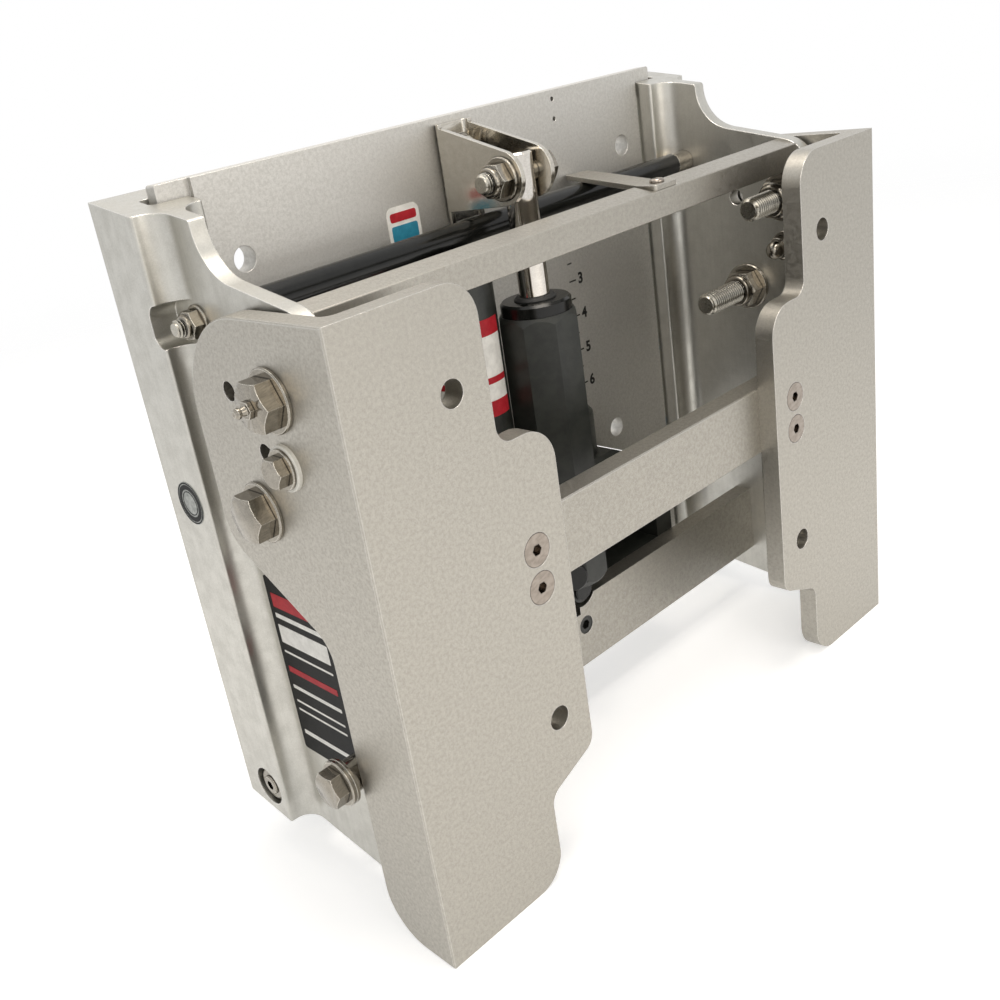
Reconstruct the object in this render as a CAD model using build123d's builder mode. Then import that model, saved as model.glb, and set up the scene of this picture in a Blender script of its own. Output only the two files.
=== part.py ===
from build123d import *
import os
from math import atan2, degrees, hypot, radians, tan

# Hydraulic jack plate for an outboard motor, in millimetres.
# X runs across the transom, Y from the transom towards the motor, Z up.
# The origin is midway between the two upper transom bolt holes, on the transom face.
# The right-hand pieces are drawn at positive X and mirrored for the left-hand side.

# Clearances
running_clearance = 0.06
hole_clearance = 0.25
slide_clearance = 0.3
edge_break = 0.8

# Transom brackets
overall_width = 457.2
bracket_height = 355.6
bracket_rise = 50.8
bracket_web = 12.7
flange_wall = 12.7
web_reach_top = 126.5
web_reach_low = 50.8
web_top_round = 56.0
web_hook_z = -76.1
web_hook_round = 25.0
web_hook_slant = 29.9
web_waist_round = 20.0
web_foot_round = 28.0
bracket_inner_round = 6.35
flange_width = 88.9
belly_width = 127.0
belly_top_z = -35.5
belly_bottom_z = -233.0
belly_bottom_step = 15.5
flange_round_large = 20.0
flange_round_small = 10.0

# Bolt holes of the transom and of the motor
upper_hole_spacing = 327.0
lower_hole_spacing = 250.8
hole_drop = 203.2
mounting_hole_d = 14.3

# Side bolts, as distances aft of the transom and heights
pivot_y = 50.8
pivot_z = 12.7
pivot_bolt_d = 15.875
guide_drop = 33.7
guide_bolt_d = 9.525
guide_slot_sweep = 29.4
lock_y = 82.4
lock_z = -50.8
kick_sweep = 6.0
spare_hole_y = 88.0
spare_hole_d = 10.4
stop_bolt_z = -205.0
stop_bolt_d = 12.7
stop_spacer_d = 19.05

# Slide rails
web_gap = 3.175
rail_web = 9.525
rail_front = 32.0
rail_front_height = 47.7
rail_front_slope = 12.0
rail_front_round = 21.0
swoosh_y = 116.0
swoosh_round = 30.0
block_front = 144.0
block_depth = 44.4
block_fillet = 12.0
block_top_z = 97.0
block_top_slope = 10.5
block_bottom_z = -278.5
block_bottom_slope = 7.5
lip_thickness = 12.8
lip_reach = 41.6
lip_fillet = 13.0
groove_end_wall = 18.1
groove_round = 3.0

# Motor plate
motor_front = 153.7
motor_plate_wall = 12.7
motor_plate_top = 108.0
tongue_wall = 8.9
tongue_gap = 2.0
tongue_relief = 0.4
motor_hole_z = 59.7
leg_width = 27.0
leg_bottom = -268.0
leg_top = -190.0
arch_slope = 27.5
arch_flat_half = 62.0
motor_corner_round = 6.0
motor_top_round = 1.6
scale_hole_x = 96.5
scale_hole_d = 3.0
scale_hole_heights = (102.2, 89.4)
lift_stroke = 152.4

# Liners
liner_wall = 1.6
liner_end_wall = 5.2
liner_top = 89.0
liner_bottom = -268.0
liner_lip = 1.5
adjuster_z = -259.0
adjuster_d = 12.7
adjuster_recess_d = 25.4
adjuster_recess_depth = 10.0

# Crossbars, tie bar and lower plate
low_bar_height = 44.45
low_bar_top = -88.3
low_bar_depth = 15.9
low_bar_screw_inset = 22.4
low_bar_screw_pitch = 22.2
top_bar_depth = 15.9
top_bar_height = 16.0
top_bar_setback = 8.0
top_bar_drop = 1.6
tie_y = 130.0
tie_z = 40.0
tie_bar_d = 15.9
tie_stud_d = 9.525
tie_washer_radius = 9.5
tie_pocket_width = 44.0
tie_pocket_height = 23.4
tie_pocket_round = 8.0
cross_plate_front = 91.5
cross_plate_wall = 12.7
cross_plate_height = 50.8
notch_radius = 13.5
notch_rise = 7.5
relief_left = -14.0
relief_right = -4.0
relief_depth = 11.0

# Ram, reservoir and pump base
ram_y = 99.0
ram_flats = 47.6
ram_top = -12.5
bore_d = 38.1
bore_floor = 7.0
foot_height = 17.0
rod_d = 19.05
rod_top = 83.5
gland_d = 44.4
gland_height = 8.0
gland_spigot = 13.5
piston_length = 12.0
reservoir_x = -40.5
reservoir_y = 127.5
reservoir_d = 49.0
reservoir_wall = 3.0
reservoir_top = 20.0
cap_wall = 6.0
cap_plug_depth = 8.0
filler_setback = 14.0
filler_bore_radius = 4.0
filler_flats = 11.0
filler_head = 4.0
base_left = -68.0
base_middle = 26.0
base_right = 118.0
base_rear = 149.0
base_step = 3.8
base_arch_gap = 0.5
base_bolt_drop = 21.0
boss_radius = 10.0
pocket_right = 100.7
pocket_rear = 125.0
pocket_height = 28.0
pump_x = 44.0
pump_d = 36.0
pump_length = 34.0

# Clevis on the motor plate
clevis_wall = 3.2
clevis_gap = 22.2
clevis_bend = 3.2
eye_z = 70.5
ear_radius = 16.0
ear_top = 103.0
ear_bottom = 51.5
clevis_top = 104.0
clevis_foot = 44.3
clevis_bolt_d = 12.7
clevis_screw_d = 9.525
clevis_screw_heights = (90.0, 58.0)

# Pointer
pointer_seat_rise = 0.3
pointer_wall = 3.2

# Heads and nuts
big_flats = 23.8
half_inch_flats = 19.05
half_inch_head = 7.9
three_eighths_flats = 14.29

# Values worked out from the above
half_width = overall_width / 2
bracket_bottom = bracket_rise - bracket_height
flange_inner_edge = half_width - flange_width
flange_belly_edge = half_width - belly_width
web_inner = half_width - bracket_web
rail_outer = web_inner - web_gap
rail_inner = rail_outer - rail_web
block_rear = block_front + block_depth
lip_inner = half_width - lip_reach
motor_rear = motor_front + motor_plate_wall
tongue_rear = motor_rear - tongue_relief
tongue_front = tongue_rear - tongue_wall
groove_front = tongue_front - slide_clearance - liner_wall
groove_rear = tongue_rear + slide_clearance + liner_wall
groove_end = half_width - groove_end_wall
motor_plate_edge = groove_end - liner_end_wall - slide_clearance
leg_inner = motor_plate_edge - leg_width
tongue_width = motor_plate_edge - lip_inner + tongue_gap
arch_z = leg_top + (leg_inner - arch_flat_half) * tan(radians(arch_slope))
groove_middle = (groove_front + groove_rear) / 2
lip_front = groove_front - lip_thickness
guide_z = pivot_z - guide_drop
stop_bolt_y = web_reach_low + stop_spacer_d / 2 + slide_clearance
low_bar_bottom = low_bar_top - low_bar_height
low_bar_half = web_inner - bracket_inner_round
low_bar_screw_x = flange_belly_edge + low_bar_screw_inset
top_bar_front = rail_front + top_bar_setback
top_bar_top = rail_front_height + top_bar_setback * tan(radians(rail_front_slope)) - top_bar_drop
pointer_seat_z = top_bar_top + pointer_seat_rise
piston_top = ram_top - gland_spigot - slide_clearance - lift_stroke
piston_bottom = piston_top - piston_length
bore_bottom = piston_bottom - slide_clearance
ram_bottom = bore_bottom - bore_floor
cross_plate_rear = cross_plate_front + cross_plate_wall
cross_plate_top = ram_bottom - foot_height
cross_plate_bottom = cross_plate_top - cross_plate_height
notch_z = cross_plate_top + notch_rise
base_bottom = cross_plate_bottom + base_step
base_top = arch_z - base_arch_gap
base_side_top = base_top - (base_right - arch_flat_half) * tan(radians(arch_slope))
base_bolt_z = cross_plate_top - base_bolt_drop
pump_top = base_top + pump_length
clevis_half = clevis_gap / 2 + clevis_wall
lock_radius = hypot(lock_y - pivot_y, lock_z - pivot_z)
lock_angle = degrees(atan2(lock_z - pivot_z, lock_y - pivot_y))


def rounded_face(corners):
    """Fills a closed outline whose corners are (x, y, radius); radius 0 stays sharp."""
    with BuildLine() as outline:
        FilletPolyline(
            *[(x, y) for x, y, _ in corners], radius=[r for _, _, r in corners], close=True
        )
    make_face(outline.edges())


def arc_slot(centre, radius, start, sweep, width):
    """Draws a slot along an arc about a centre, its two ends half a width round."""
    with BuildLine() as path:
        CenterArc(centre, radius, start, sweep)
    SlotArc(path.edges()[0], width)


def outward(x, y, z):
    """The plane at a point of the right-hand side that faces out to the right."""
    return Plane(origin=(x, y, z), x_dir=(0, 1, 0), z_dir=(1, 0, 0))


def inward(x, y, z):
    """The plane at a point of the right-hand side that faces the middle."""
    return Plane(origin=(x, y, z), x_dir=(0, 1, 0), z_dir=(-1, 0, 0))


def forward(x, y, z):
    """The plane at a point that faces the transom."""
    return Plane(origin=(x, y, z), x_dir=(1, 0, 0), z_dir=(0, -1, 0))


def turned(profile):
    """A solid turned about the Z axis from the (radius, height) corners of its profile."""
    with BuildPart() as body:
        with BuildSketch(Plane.XZ):
            with BuildLine() as outline:
                Polyline(*profile, close=True)
            make_face(outline.edges())
        revolve(axis=Axis.Z)
    return body.part


def hexagon_with_turned_corners(across_flats, height, bore_radius, both_ends):
    """A hexagon on the XY plane with its corners turned off, as on a bolt head or a nut."""
    flat = across_flats / 2
    corner = across_flats / 3**0.5
    drop = (corner - flat) * tan(radians(30))
    foot = [(0, 0), (flat, 0), (corner, drop)] if both_ends else [(0, 0), (corner, 0)]
    turned_blank = turned([*foot, (corner, height - drop), (flat, height), (0, height)])
    with BuildPart() as body:
        with BuildSketch():
            RegularPolygon(flat, 6, major_radius=False)
            if bore_radius:
                Circle(bore_radius, mode=Mode.SUBTRACT)
        extrude(amount=height)
        add(turned_blank, mode=Mode.INTERSECT)
    return body.part


def lock_nut(across_flats, hex_height, collar_height, bore_radius):
    """A self-locking nut on the XY plane: a hexagon with a rounded collar above it."""
    hexagon = hexagon_with_turned_corners(across_flats, hex_height, 0, False)
    collar_r = across_flats / 2 - edge_break
    with BuildPart() as nut:
        add(hexagon)
        with BuildSketch(Plane.XY.offset(hex_height)):
            Circle(collar_r)
        extrude(amount=collar_height)
        fillet(nut.edges().group_by(Axis.Z)[-1], collar_height / 2)
        with BuildSketch():
            Circle(bore_radius)
        extrude(amount=hex_height + collar_height, mode=Mode.SUBTRACT)
    return nut.part


def washer(inner_radius, outer_radius, thickness):
    """A flat washer standing on the XY plane."""
    with BuildPart() as ring:
        with BuildSketch():
            Circle(outer_radius)
            Circle(inner_radius, mode=Mode.SUBTRACT)
        extrude(amount=thickness)
        chamfer(ring.edges().group_by(Axis.Z)[-1].sort_by(SortBy.RADIUS)[-1], thickness / 4)
    return ring.part


def hex_bolt(diameter, across_flats, head_height, length):
    """A hexagon bolt, its head standing on the XY plane and its shank below."""
    head = hexagon_with_turned_corners(across_flats, head_height, 0, False)
    with BuildPart() as bolt:
        add(head)
        with BuildSketch():
            Circle(diameter / 2)
        extrude(amount=-length)
        chamfer(bolt.edges().group_by(Axis.Z)[0], diameter / 10)
    return bolt.part


def flat_screw(diameter, head_diameter, length, socket):
    """A countersunk socket screw, its flush top on the XY plane and its shank below."""
    head_r = head_diameter / 2
    cone = head_r - diameter / 2
    rim = 0.4
    blank = turned(
        (
            (0, 0),
            (head_r, 0),
            (head_r, -rim),
            (diameter / 2, -rim - cone),
            (diameter / 2, -length),
            (0, -length),
        )
    )
    with BuildPart() as screw:
        add(blank)
        with BuildSketch():
            RegularPolygon(socket / 2, 6, major_radius=False)
        extrude(amount=-cone, mode=Mode.SUBTRACT)
    return screw.part


def flat_screw_seat(diameter, head_diameter, length):
    """The space that a countersunk screw needs, for cutting its holes."""
    with BuildPart() as seat:
        add(flat_screw(diameter + hole_clearance, head_diameter + hole_clearance, length, diameter / 4))
        with BuildSketch():
            Circle(diameter / 4)
        extrude(amount=-length)
    return seat.part


def flanged_plug(flange_r, flange_height, stem_r, stem_length):
    """A round plug, its flange standing on the XY plane and its stem below."""
    return turned(
        (
            (0, -stem_length),
            (stem_r, -stem_length),
            (stem_r, 0),
            (flange_r, 0),
            (flange_r, flange_height - edge_break),
            (flange_r - edge_break, flange_height),
            (0, flange_height),
        )
    )


# Transom brackets
hook_drop = (web_reach_top - web_reach_low) * tan(radians(web_hook_slant))
web_outline = (
    (0, bracket_rise, 0),
    (web_reach_top, bracket_rise, web_top_round),
    (web_reach_top, web_hook_z, web_hook_round),
    (web_reach_low, web_hook_z - hook_drop, web_waist_round),
    (web_reach_low, bracket_bottom, web_foot_round),
    (0, bracket_bottom, 0),
)
flange_outline = (
    (half_width, bracket_rise, 0),
    (half_width, bracket_bottom, 0),
    (flange_inner_edge, bracket_bottom, flange_round_large),
    (flange_inner_edge, belly_bottom_z - belly_bottom_step, flange_round_small),
    (flange_belly_edge, belly_bottom_z, flange_round_small),
    (flange_belly_edge, belly_top_z, flange_round_large),
    (flange_inner_edge, belly_top_z, flange_round_small),
    (flange_inner_edge, bracket_rise, flange_round_large),
)
low_screw_d = 9.525
low_screw_head_d = 19.05
low_screw_length = 22.0
low_screw_heights = [
    (low_bar_top + low_bar_bottom) / 2 + side * low_bar_screw_pitch / 2 for side in (1, -1)
]
low_screw_seat = flat_screw_seat(low_screw_d, low_screw_head_d, low_screw_length + 2)
low_screw_planes = [forward(low_bar_screw_x, 0, z) for z in low_screw_heights]

with BuildPart() as right_transom_bracket:
    with BuildSketch(Plane.YZ.offset(web_inner)):
        rounded_face(web_outline)
    extrude(amount=bracket_web)
    with BuildSketch(Plane.XZ):
        rounded_face(flange_outline)
    extrude(amount=-flange_wall)
    inner_corner = right_transom_bracket.edges().filter_by(Axis.Z).sort_by_distance(
        (web_inner, flange_wall, 0)
    )[0]
    fillet(inner_corner, bracket_inner_round)
    outer_rim = right_transom_bracket.faces().sort_by(Axis.X)[-1].outer_wire().edges()
    chamfer(outer_rim, edge_break)
    with BuildSketch(Plane.XZ):
        with Locations((upper_hole_spacing / 2, 0), (lower_hole_spacing / 2, -hole_drop)):
            Circle(mounting_hole_d / 2)
    extrude(amount=-flange_wall, mode=Mode.SUBTRACT)
    with Locations(*low_screw_planes):
        add(low_screw_seat, mode=Mode.SUBTRACT)
    with BuildSketch(Plane.YZ.offset(web_inner)):
        with Locations((pivot_y, pivot_z)):
            Circle(pivot_bolt_d / 2 + running_clearance)
        with Locations((spare_hole_y, pivot_z)):
            Circle(spare_hole_d / 2)
        arc_slot(
            (pivot_y, pivot_z), guide_drop, -90, guide_slot_sweep, guide_bolt_d + 2 * slide_clearance
        )
        arc_slot(
            (pivot_y, pivot_z), lock_radius, lock_angle, kick_sweep, pivot_bolt_d + 2 * slide_clearance
        )
    extrude(amount=bracket_web, mode=Mode.SUBTRACT)

with BuildPart() as left_transom_bracket:
    mirror(right_transom_bracket.part, about=Plane.YZ)

# Lower crossbar, which ties the two brackets behind their flanges
with BuildPart() as lower_crossbar:
    with BuildSketch(Plane.YZ.offset(-low_bar_half)):
        with Locations((flange_wall, low_bar_bottom)):
            Rectangle(low_bar_depth, low_bar_height, align=Align.MIN)
    extrude(amount=2 * low_bar_half)
    chamfer(lower_crossbar.edges().filter_by(Axis.X), edge_break)
    with Locations(*low_screw_planes):
        add(low_screw_seat, mode=Mode.SUBTRACT)
    with Locations(*[forward(-low_bar_screw_x, 0, z) for z in low_screw_heights]):
        add(low_screw_seat, mode=Mode.SUBTRACT)

low_screw = flat_screw(low_screw_d, low_screw_head_d, low_screw_length, 5.6)
with BuildPart() as crossbar_screws:
    with Locations(*low_screw_planes):
        add(low_screw)
    mirror(about=Plane.YZ)

# Slide rails
front_slope = tan(radians(rail_front_slope))
top_slope = tan(radians(block_top_slope))
bottom_slope = tan(radians(block_bottom_slope))


def block_top_at(y):
    """Height of the slanted top of a rail's block."""
    return block_top_z + (y - block_front) * top_slope


def block_bottom_at(y):
    """Height of the slanted bottom of a rail."""
    return block_bottom_z + (y - block_front) * bottom_slope


rail_section = (
    (rail_inner, rail_front, edge_break),
    (rail_outer, rail_front, edge_break),
    (rail_outer, block_front, block_fillet),
    (half_width, block_front, 2 * edge_break),
    (half_width, block_rear, 2 * edge_break),
    (lip_inner, block_rear, 2 * edge_break),
    (lip_inner, groove_rear, 0),
    (groove_end, groove_rear, groove_round),
    (groove_end, groove_front, groove_round),
    (lip_inner, groove_front, 0),
    (lip_inner, lip_front, 2.0),
    (rail_inner, lip_front, lip_fillet),
)
rail_side = (
    (rail_front, block_bottom_at(rail_front), 3.0),
    (rail_front, rail_front_height, rail_front_round),
    (swoosh_y, rail_front_height + (swoosh_y - rail_front) * front_slope, swoosh_round),
    (swoosh_y, block_top_at(swoosh_y), 2.4),
    (block_rear, block_top_at(block_rear), 1.5),
    (block_rear, block_bottom_at(block_rear), 3.0),
)
top_bar_screw_d = 7.9375
top_bar_screw_head_d = 15.0
top_bar_screw_length = 26.0
top_bar_centre = (top_bar_front + top_bar_depth / 2, top_bar_top - top_bar_height / 2)
top_bar_screw_seat = flat_screw_seat(
    top_bar_screw_d, top_bar_screw_head_d, top_bar_screw_length + 2
)
top_bar_screw_plane = outward(rail_outer, *top_bar_centre)

with BuildPart() as right_slide_rail:
    with BuildSketch(Plane.XY.offset(block_bottom_z - block_depth)):
        rounded_face(rail_section)
    extrude(amount=block_top_z - block_bottom_z + 2 * block_depth)
    with BuildSketch(Plane.YZ.offset(lip_inner)):
        rounded_face(rail_side)
    extrude(amount=lip_reach, mode=Mode.INTERSECT)
    with BuildSketch(Plane.YZ.offset(rail_inner)):
        with Locations((pivot_y, pivot_z), (lock_y, lock_z)):
            Circle(pivot_bolt_d / 2 + hole_clearance / 2)
        with Locations((pivot_y, guide_z)):
            Circle(guide_bolt_d / 2 + hole_clearance / 2)
        with Locations((spare_hole_y, pivot_z)):
            Circle(spare_hole_d / 2)
        with Locations((stop_bolt_y, stop_bolt_z)):
            Circle(stop_bolt_d / 2 + hole_clearance / 2)
        with Locations((tie_y, tie_z)):
            Circle(tie_stud_d / 2 + hole_clearance / 2)
    extrude(amount=lip_reach, mode=Mode.SUBTRACT)
    with BuildSketch(Plane.YZ.offset(rail_outer)):
        with Locations((tie_y, tie_z)):
            RectangleRounded(tie_pocket_width, tie_pocket_height, tie_pocket_round)
    extrude(amount=half_width - rail_outer, mode=Mode.SUBTRACT)
    with Locations(outward(half_width, groove_middle, adjuster_z)):
        CounterBoreHole(
            adjuster_d / 2 + hole_clearance / 2,
            adjuster_recess_d / 2,
            adjuster_recess_depth,
            depth=groove_end_wall,
        )
    with BuildSketch(inward(rail_inner, tie_y, tie_z)):
        Circle(tie_bar_d / 2 + hole_clearance)
    extrude(amount=lip_fillet, mode=Mode.SUBTRACT)
    with Locations(top_bar_screw_plane):
        add(top_bar_screw_seat, mode=Mode.SUBTRACT)

with BuildPart() as left_slide_rail:
    mirror(right_slide_rail.part, about=Plane.YZ)

# Sliding liners in the rails' grooves, each a channel round the plate's tongue
tongue_edge = motor_plate_edge + slide_clearance
with BuildPart() as right_rail_liner:
    with BuildSketch(Plane.XY.offset(liner_bottom)):
        rounded_face(
            (
                (lip_inner - liner_lip, groove_front, 0),
                (groove_end, groove_front, groove_round),
                (groove_end, groove_rear, groove_round),
                (lip_inner, groove_rear, 0),
                (lip_inner, groove_rear - liner_wall, 0),
                (tongue_edge, groove_rear - liner_wall, 0),
                (tongue_edge, groove_front + liner_wall, 0),
                (lip_inner - liner_lip, groove_front + liner_wall, 0),
            )
        )
    extrude(amount=liner_top - liner_bottom)

with BuildPart() as left_rail_liner:
    mirror(right_rail_liner.part, about=Plane.YZ)

# Set screws and jam nuts that press the liners towards the plate
adjuster_nut_height = 7.9
adjuster_floor = half_width - adjuster_recess_depth
adjuster_tip = half_width - groove_end
with BuildPart() as liner_adjusters:
    with BuildSketch(outward(groove_end, groove_middle, adjuster_z)):
        Circle(adjuster_d / 2)
    extrude(amount=adjuster_tip - 0.6)
    chamfer(liner_adjusters.edges().sort_by(Axis.X)[-1], 0.8)
    with BuildSketch(outward(half_width, groove_middle, adjuster_z)):
        RegularPolygon(3.0, 6, major_radius=False)
    extrude(amount=-6.0, mode=Mode.SUBTRACT)
    mirror(about=Plane.YZ)

adjuster_nut = hexagon_with_turned_corners(
    half_inch_flats, adjuster_nut_height, adjuster_d / 2 + running_clearance, True
)
with BuildPart() as liner_jam_nuts:
    with Locations(outward(adjuster_floor, groove_middle, adjuster_z)):
        add(adjuster_nut)
    mirror(about=Plane.YZ)

# Upper crossbar between the rails
top_bar_rear = top_bar_front + top_bar_depth
top_bar_bottom = top_bar_top - top_bar_height
top_bar_rear_top = top_bar_top + top_bar_depth * front_slope
with BuildPart() as upper_crossbar:
    with BuildSketch(Plane.YZ.offset(-rail_inner)):
        rounded_face(
            (
                (top_bar_front, top_bar_bottom, edge_break),
                (top_bar_front, top_bar_top, edge_break),
                (top_bar_rear, top_bar_rear_top, edge_break),
                (top_bar_rear, top_bar_bottom, edge_break),
            )
        )
    extrude(amount=2 * rail_inner)
    with Locations(top_bar_screw_plane, Plane(origin=(-rail_outer, *top_bar_centre), z_dir=(-1, 0, 0))):
        add(top_bar_screw_seat, mode=Mode.SUBTRACT)

top_bar_screw = flat_screw(top_bar_screw_d, top_bar_screw_head_d, top_bar_screw_length, 4.8)
with BuildPart() as upper_crossbar_screws:
    with Locations(top_bar_screw_plane):
        add(top_bar_screw)
    mirror(about=Plane.YZ)

# Tie bar with a threaded stud at each end
with BuildPart() as tie_bar:
    with BuildSketch(Plane.YZ.offset(-rail_inner)):
        with Locations((tie_y, tie_z)):
            Circle(tie_bar_d / 2)
    extrude(amount=2 * rail_inner)
    with BuildSketch(Plane.YZ.offset(-half_width + edge_break)):
        with Locations((tie_y, tie_z)):
            Circle(tie_stud_d / 2)
    extrude(amount=2 * (half_width - edge_break))
    chamfer(tie_bar.faces().sort_by(Axis.X)[0].edges() + tie_bar.faces().sort_by(Axis.X)[-1].edges(), 0.8)

tie_washer_wall = 1.6
tie_washer = washer(tie_stud_d / 2 + running_clearance, tie_washer_radius, tie_washer_wall)
tie_nut = lock_nut(three_eighths_flats, 6.0, 2.8, tie_stud_d / 2 + running_clearance)
with BuildPart() as tie_bar_washers:
    with Locations(outward(rail_outer, tie_y, tie_z)):
        add(tie_washer)
    mirror(about=Plane.YZ)
with BuildPart() as tie_bar_nuts:
    with Locations(outward(rail_outer + tie_washer_wall, tie_y, tie_z)):
        add(tie_nut)
    mirror(about=Plane.YZ)

# Lower cross plate, which carries the ram and its pump base
base_bolt_d = 7.9375
base_bolt_head_d = 12.7
base_bolt_head = 7.9
base_bolt_grip = 20.0
base_bolt_places = [(0, base_bolt_z), (-45, base_bolt_z)]
with BuildPart() as lower_cross_plate:
    with BuildSketch(Plane.XZ.offset(-cross_plate_front)):
        with Locations((0, cross_plate_top)):
            Rectangle(2 * rail_inner, cross_plate_height, align=(Align.CENTER, Align.MAX))
        with Locations((0, notch_z)):
            Circle(notch_radius, mode=Mode.SUBTRACT)
        with Locations((relief_left, cross_plate_top - relief_depth)):
            Rectangle(relief_right - relief_left, relief_depth, align=Align.MIN, mode=Mode.SUBTRACT)
    extrude(amount=-cross_plate_wall)
    with Locations(*[forward(x, cross_plate_front, z) for x, z in base_bolt_places]):
        CounterBoreHole(
            base_bolt_d / 2 + hole_clearance / 2,
            base_bolt_head_d / 2 + hole_clearance,
            base_bolt_head + 0.5,
        )

# Side bolts and what they carry
web_spacer_gap = web_inner - rail_outer
wide_washer_r = 16.5
wide_washer_wall = 2.4
guide_washer_r = 10.5
guide_washer_wall = 1.6
slide_washer_r = 12.0
slide_washer_wall = 2.4
head_seat = half_width + wide_washer_wall
pivot_nut_height = 10.4
pivot_nut_collar = 4.0
pivot_nut_seat = rail_inner - wide_washer_wall
pivot_stud_reach = 43.2
lock_stud_reach = 53.2
pivot_stud_end = rail_inner - pivot_stud_reach
lock_stud_end = rail_inner - lock_stud_reach
guide_nut_seat = rail_inner - guide_washer_wall
guide_head_seat = half_width + slide_washer_wall + guide_washer_wall
guide_stud_end = guide_nut_seat - 13.0

pivot_spacer = washer(pivot_bolt_d / 2 + running_clearance, wide_washer_r, web_spacer_gap)
guide_spacer = washer(guide_bolt_d / 2 + running_clearance, slide_washer_r, web_spacer_gap)
with BuildPart() as web_spacers:
    with Locations(outward(rail_outer, pivot_y, pivot_z), outward(rail_outer, lock_y, lock_z)):
        add(pivot_spacer)
    with Locations(outward(rail_outer, pivot_y, guide_z)):
        add(guide_spacer)
    mirror(about=Plane.YZ)

wide_washer = washer(pivot_bolt_d / 2 + running_clearance, wide_washer_r, wide_washer_wall)


def wide_washer_pair(y, z):
    """Planes of the outer and inner washers of one big side bolt."""
    return outward(half_width, y, z), inward(rail_inner, y, z)


with BuildPart() as pivot_washers:
    with Locations(*wide_washer_pair(pivot_y, pivot_z)):
        add(wide_washer)
    mirror(about=Plane.YZ)
with BuildPart() as lock_washers:
    with Locations(*wide_washer_pair(lock_y, lock_z)):
        add(wide_washer)
    mirror(about=Plane.YZ)

big_head = 9.9
pivot_bolt = hex_bolt(pivot_bolt_d, big_flats, big_head, head_seat - pivot_stud_end)
grease_hole_r = 2.6
with BuildPart() as pivot_bolts:
    with Locations(outward(head_seat, pivot_y, pivot_z)):
        add(pivot_bolt)
    with BuildSketch(outward(head_seat + big_head, pivot_y, pivot_z)):
        Circle(grease_hole_r + running_clearance)
    extrude(amount=-5.0, mode=Mode.SUBTRACT)
    mirror(about=Plane.YZ)

lock_bolt = hex_bolt(pivot_bolt_d, big_flats, big_head, head_seat - lock_stud_end)
with BuildPart() as lock_bolts:
    with Locations(outward(head_seat, lock_y, lock_z)):
        add(lock_bolt)
    mirror(about=Plane.YZ)

big_nut = lock_nut(
    big_flats, pivot_nut_height, pivot_nut_collar, pivot_bolt_d / 2 + running_clearance
)
with BuildPart() as pivot_nuts:
    with Locations(inward(pivot_nut_seat, pivot_y, pivot_z)):
        add(big_nut)
    mirror(about=Plane.YZ)
with BuildPart() as lock_nuts:
    with Locations(inward(pivot_nut_seat, lock_y, lock_z)):
        add(big_nut)
    mirror(about=Plane.YZ)

# Grease fittings screwed into the heads of the pivot bolts
grease_stem = turned(
    (
        (0, -4.5),
        (grease_hole_r, -4.5),
        (grease_hole_r, 2.6),
        (1.9, 5.2),
        (2.7, 6.0),
        (2.7, 7.2),
        (1.4, 8.6),
        (0, 8.6),
    )
)
with BuildPart() as grease_fittings:
    with BuildSketch(outward(head_seat + big_head, pivot_y, pivot_z)):
        RegularPolygon(4.0, 6, major_radius=False)
    extrude(amount=2.6)
    with Locations(outward(head_seat + big_head, pivot_y, pivot_z)):
        add(grease_stem)
    mirror(about=Plane.YZ)

# Guide bolts in the arc slots
guide_bolt = hex_bolt(guide_bolt_d, three_eighths_flats, 6.0, guide_head_seat - guide_stud_end)
with BuildPart() as guide_bolts:
    with Locations(outward(guide_head_seat, pivot_y, guide_z)):
        add(guide_bolt)
    mirror(about=Plane.YZ)

slide_washer = washer(guide_bolt_d / 2 + running_clearance, slide_washer_r, slide_washer_wall)
with BuildPart() as guide_slide_washers:
    with Locations(outward(half_width, pivot_y, guide_z)):
        add(slide_washer)
    mirror(about=Plane.YZ)

guide_washer = washer(guide_bolt_d / 2 + running_clearance, guide_washer_r, guide_washer_wall)
with BuildPart() as guide_washers:
    with Locations(
        outward(half_width + slide_washer_wall, pivot_y, guide_z),
        inward(rail_inner, pivot_y, guide_z),
    ):
        add(guide_washer)
    mirror(about=Plane.YZ)

acorn_hex = 8.0
dome_r = 6.3
dome_neck = 3.5
acorn_bore_depth = guide_nut_seat - guide_stud_end + slide_clearance
acorn_hexagon = hexagon_with_turned_corners(three_eighths_flats, acorn_hex, 0, False)
with BuildPart() as acorn_nut:
    add(acorn_hexagon)
    with BuildSketch(Plane.XY.offset(acorn_hex)):
        Circle(dome_r)
    extrude(amount=dome_neck)
    with Locations((0, 0, acorn_hex + dome_neck)):
        Sphere(dome_r)
    with BuildSketch():
        Circle(guide_bolt_d / 2 + running_clearance)
    extrude(amount=acorn_bore_depth, mode=Mode.SUBTRACT)
with BuildPart() as guide_acorn_nuts:
    with Locations(inward(guide_nut_seat, pivot_y, guide_z)):
        add(acorn_nut.part)
    mirror(about=Plane.YZ)

# Stop bolts, whose spacers rest on the rear edges of the brackets
stop_washer_r = 13.5
stop_spacer_proud = 3.8
stop_spacer_length = half_width - rail_outer + stop_spacer_proud
stop_nut_height = 8.0
stop_nut_collar = 3.4
stop_washer_seat = rail_outer + stop_spacer_length
stop_head_seat = stop_washer_seat + 2 * wide_washer_wall
stop_stud_end = rail_inner - wide_washer_wall - stop_nut_height - stop_nut_collar - 5.0
stop_bolt = hex_bolt(stop_bolt_d, half_inch_flats, half_inch_head, stop_head_seat - stop_stud_end)
with BuildPart() as stop_bolts:
    with Locations(outward(stop_head_seat, stop_bolt_y, stop_bolt_z)):
        add(stop_bolt)
    mirror(about=Plane.YZ)

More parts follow.
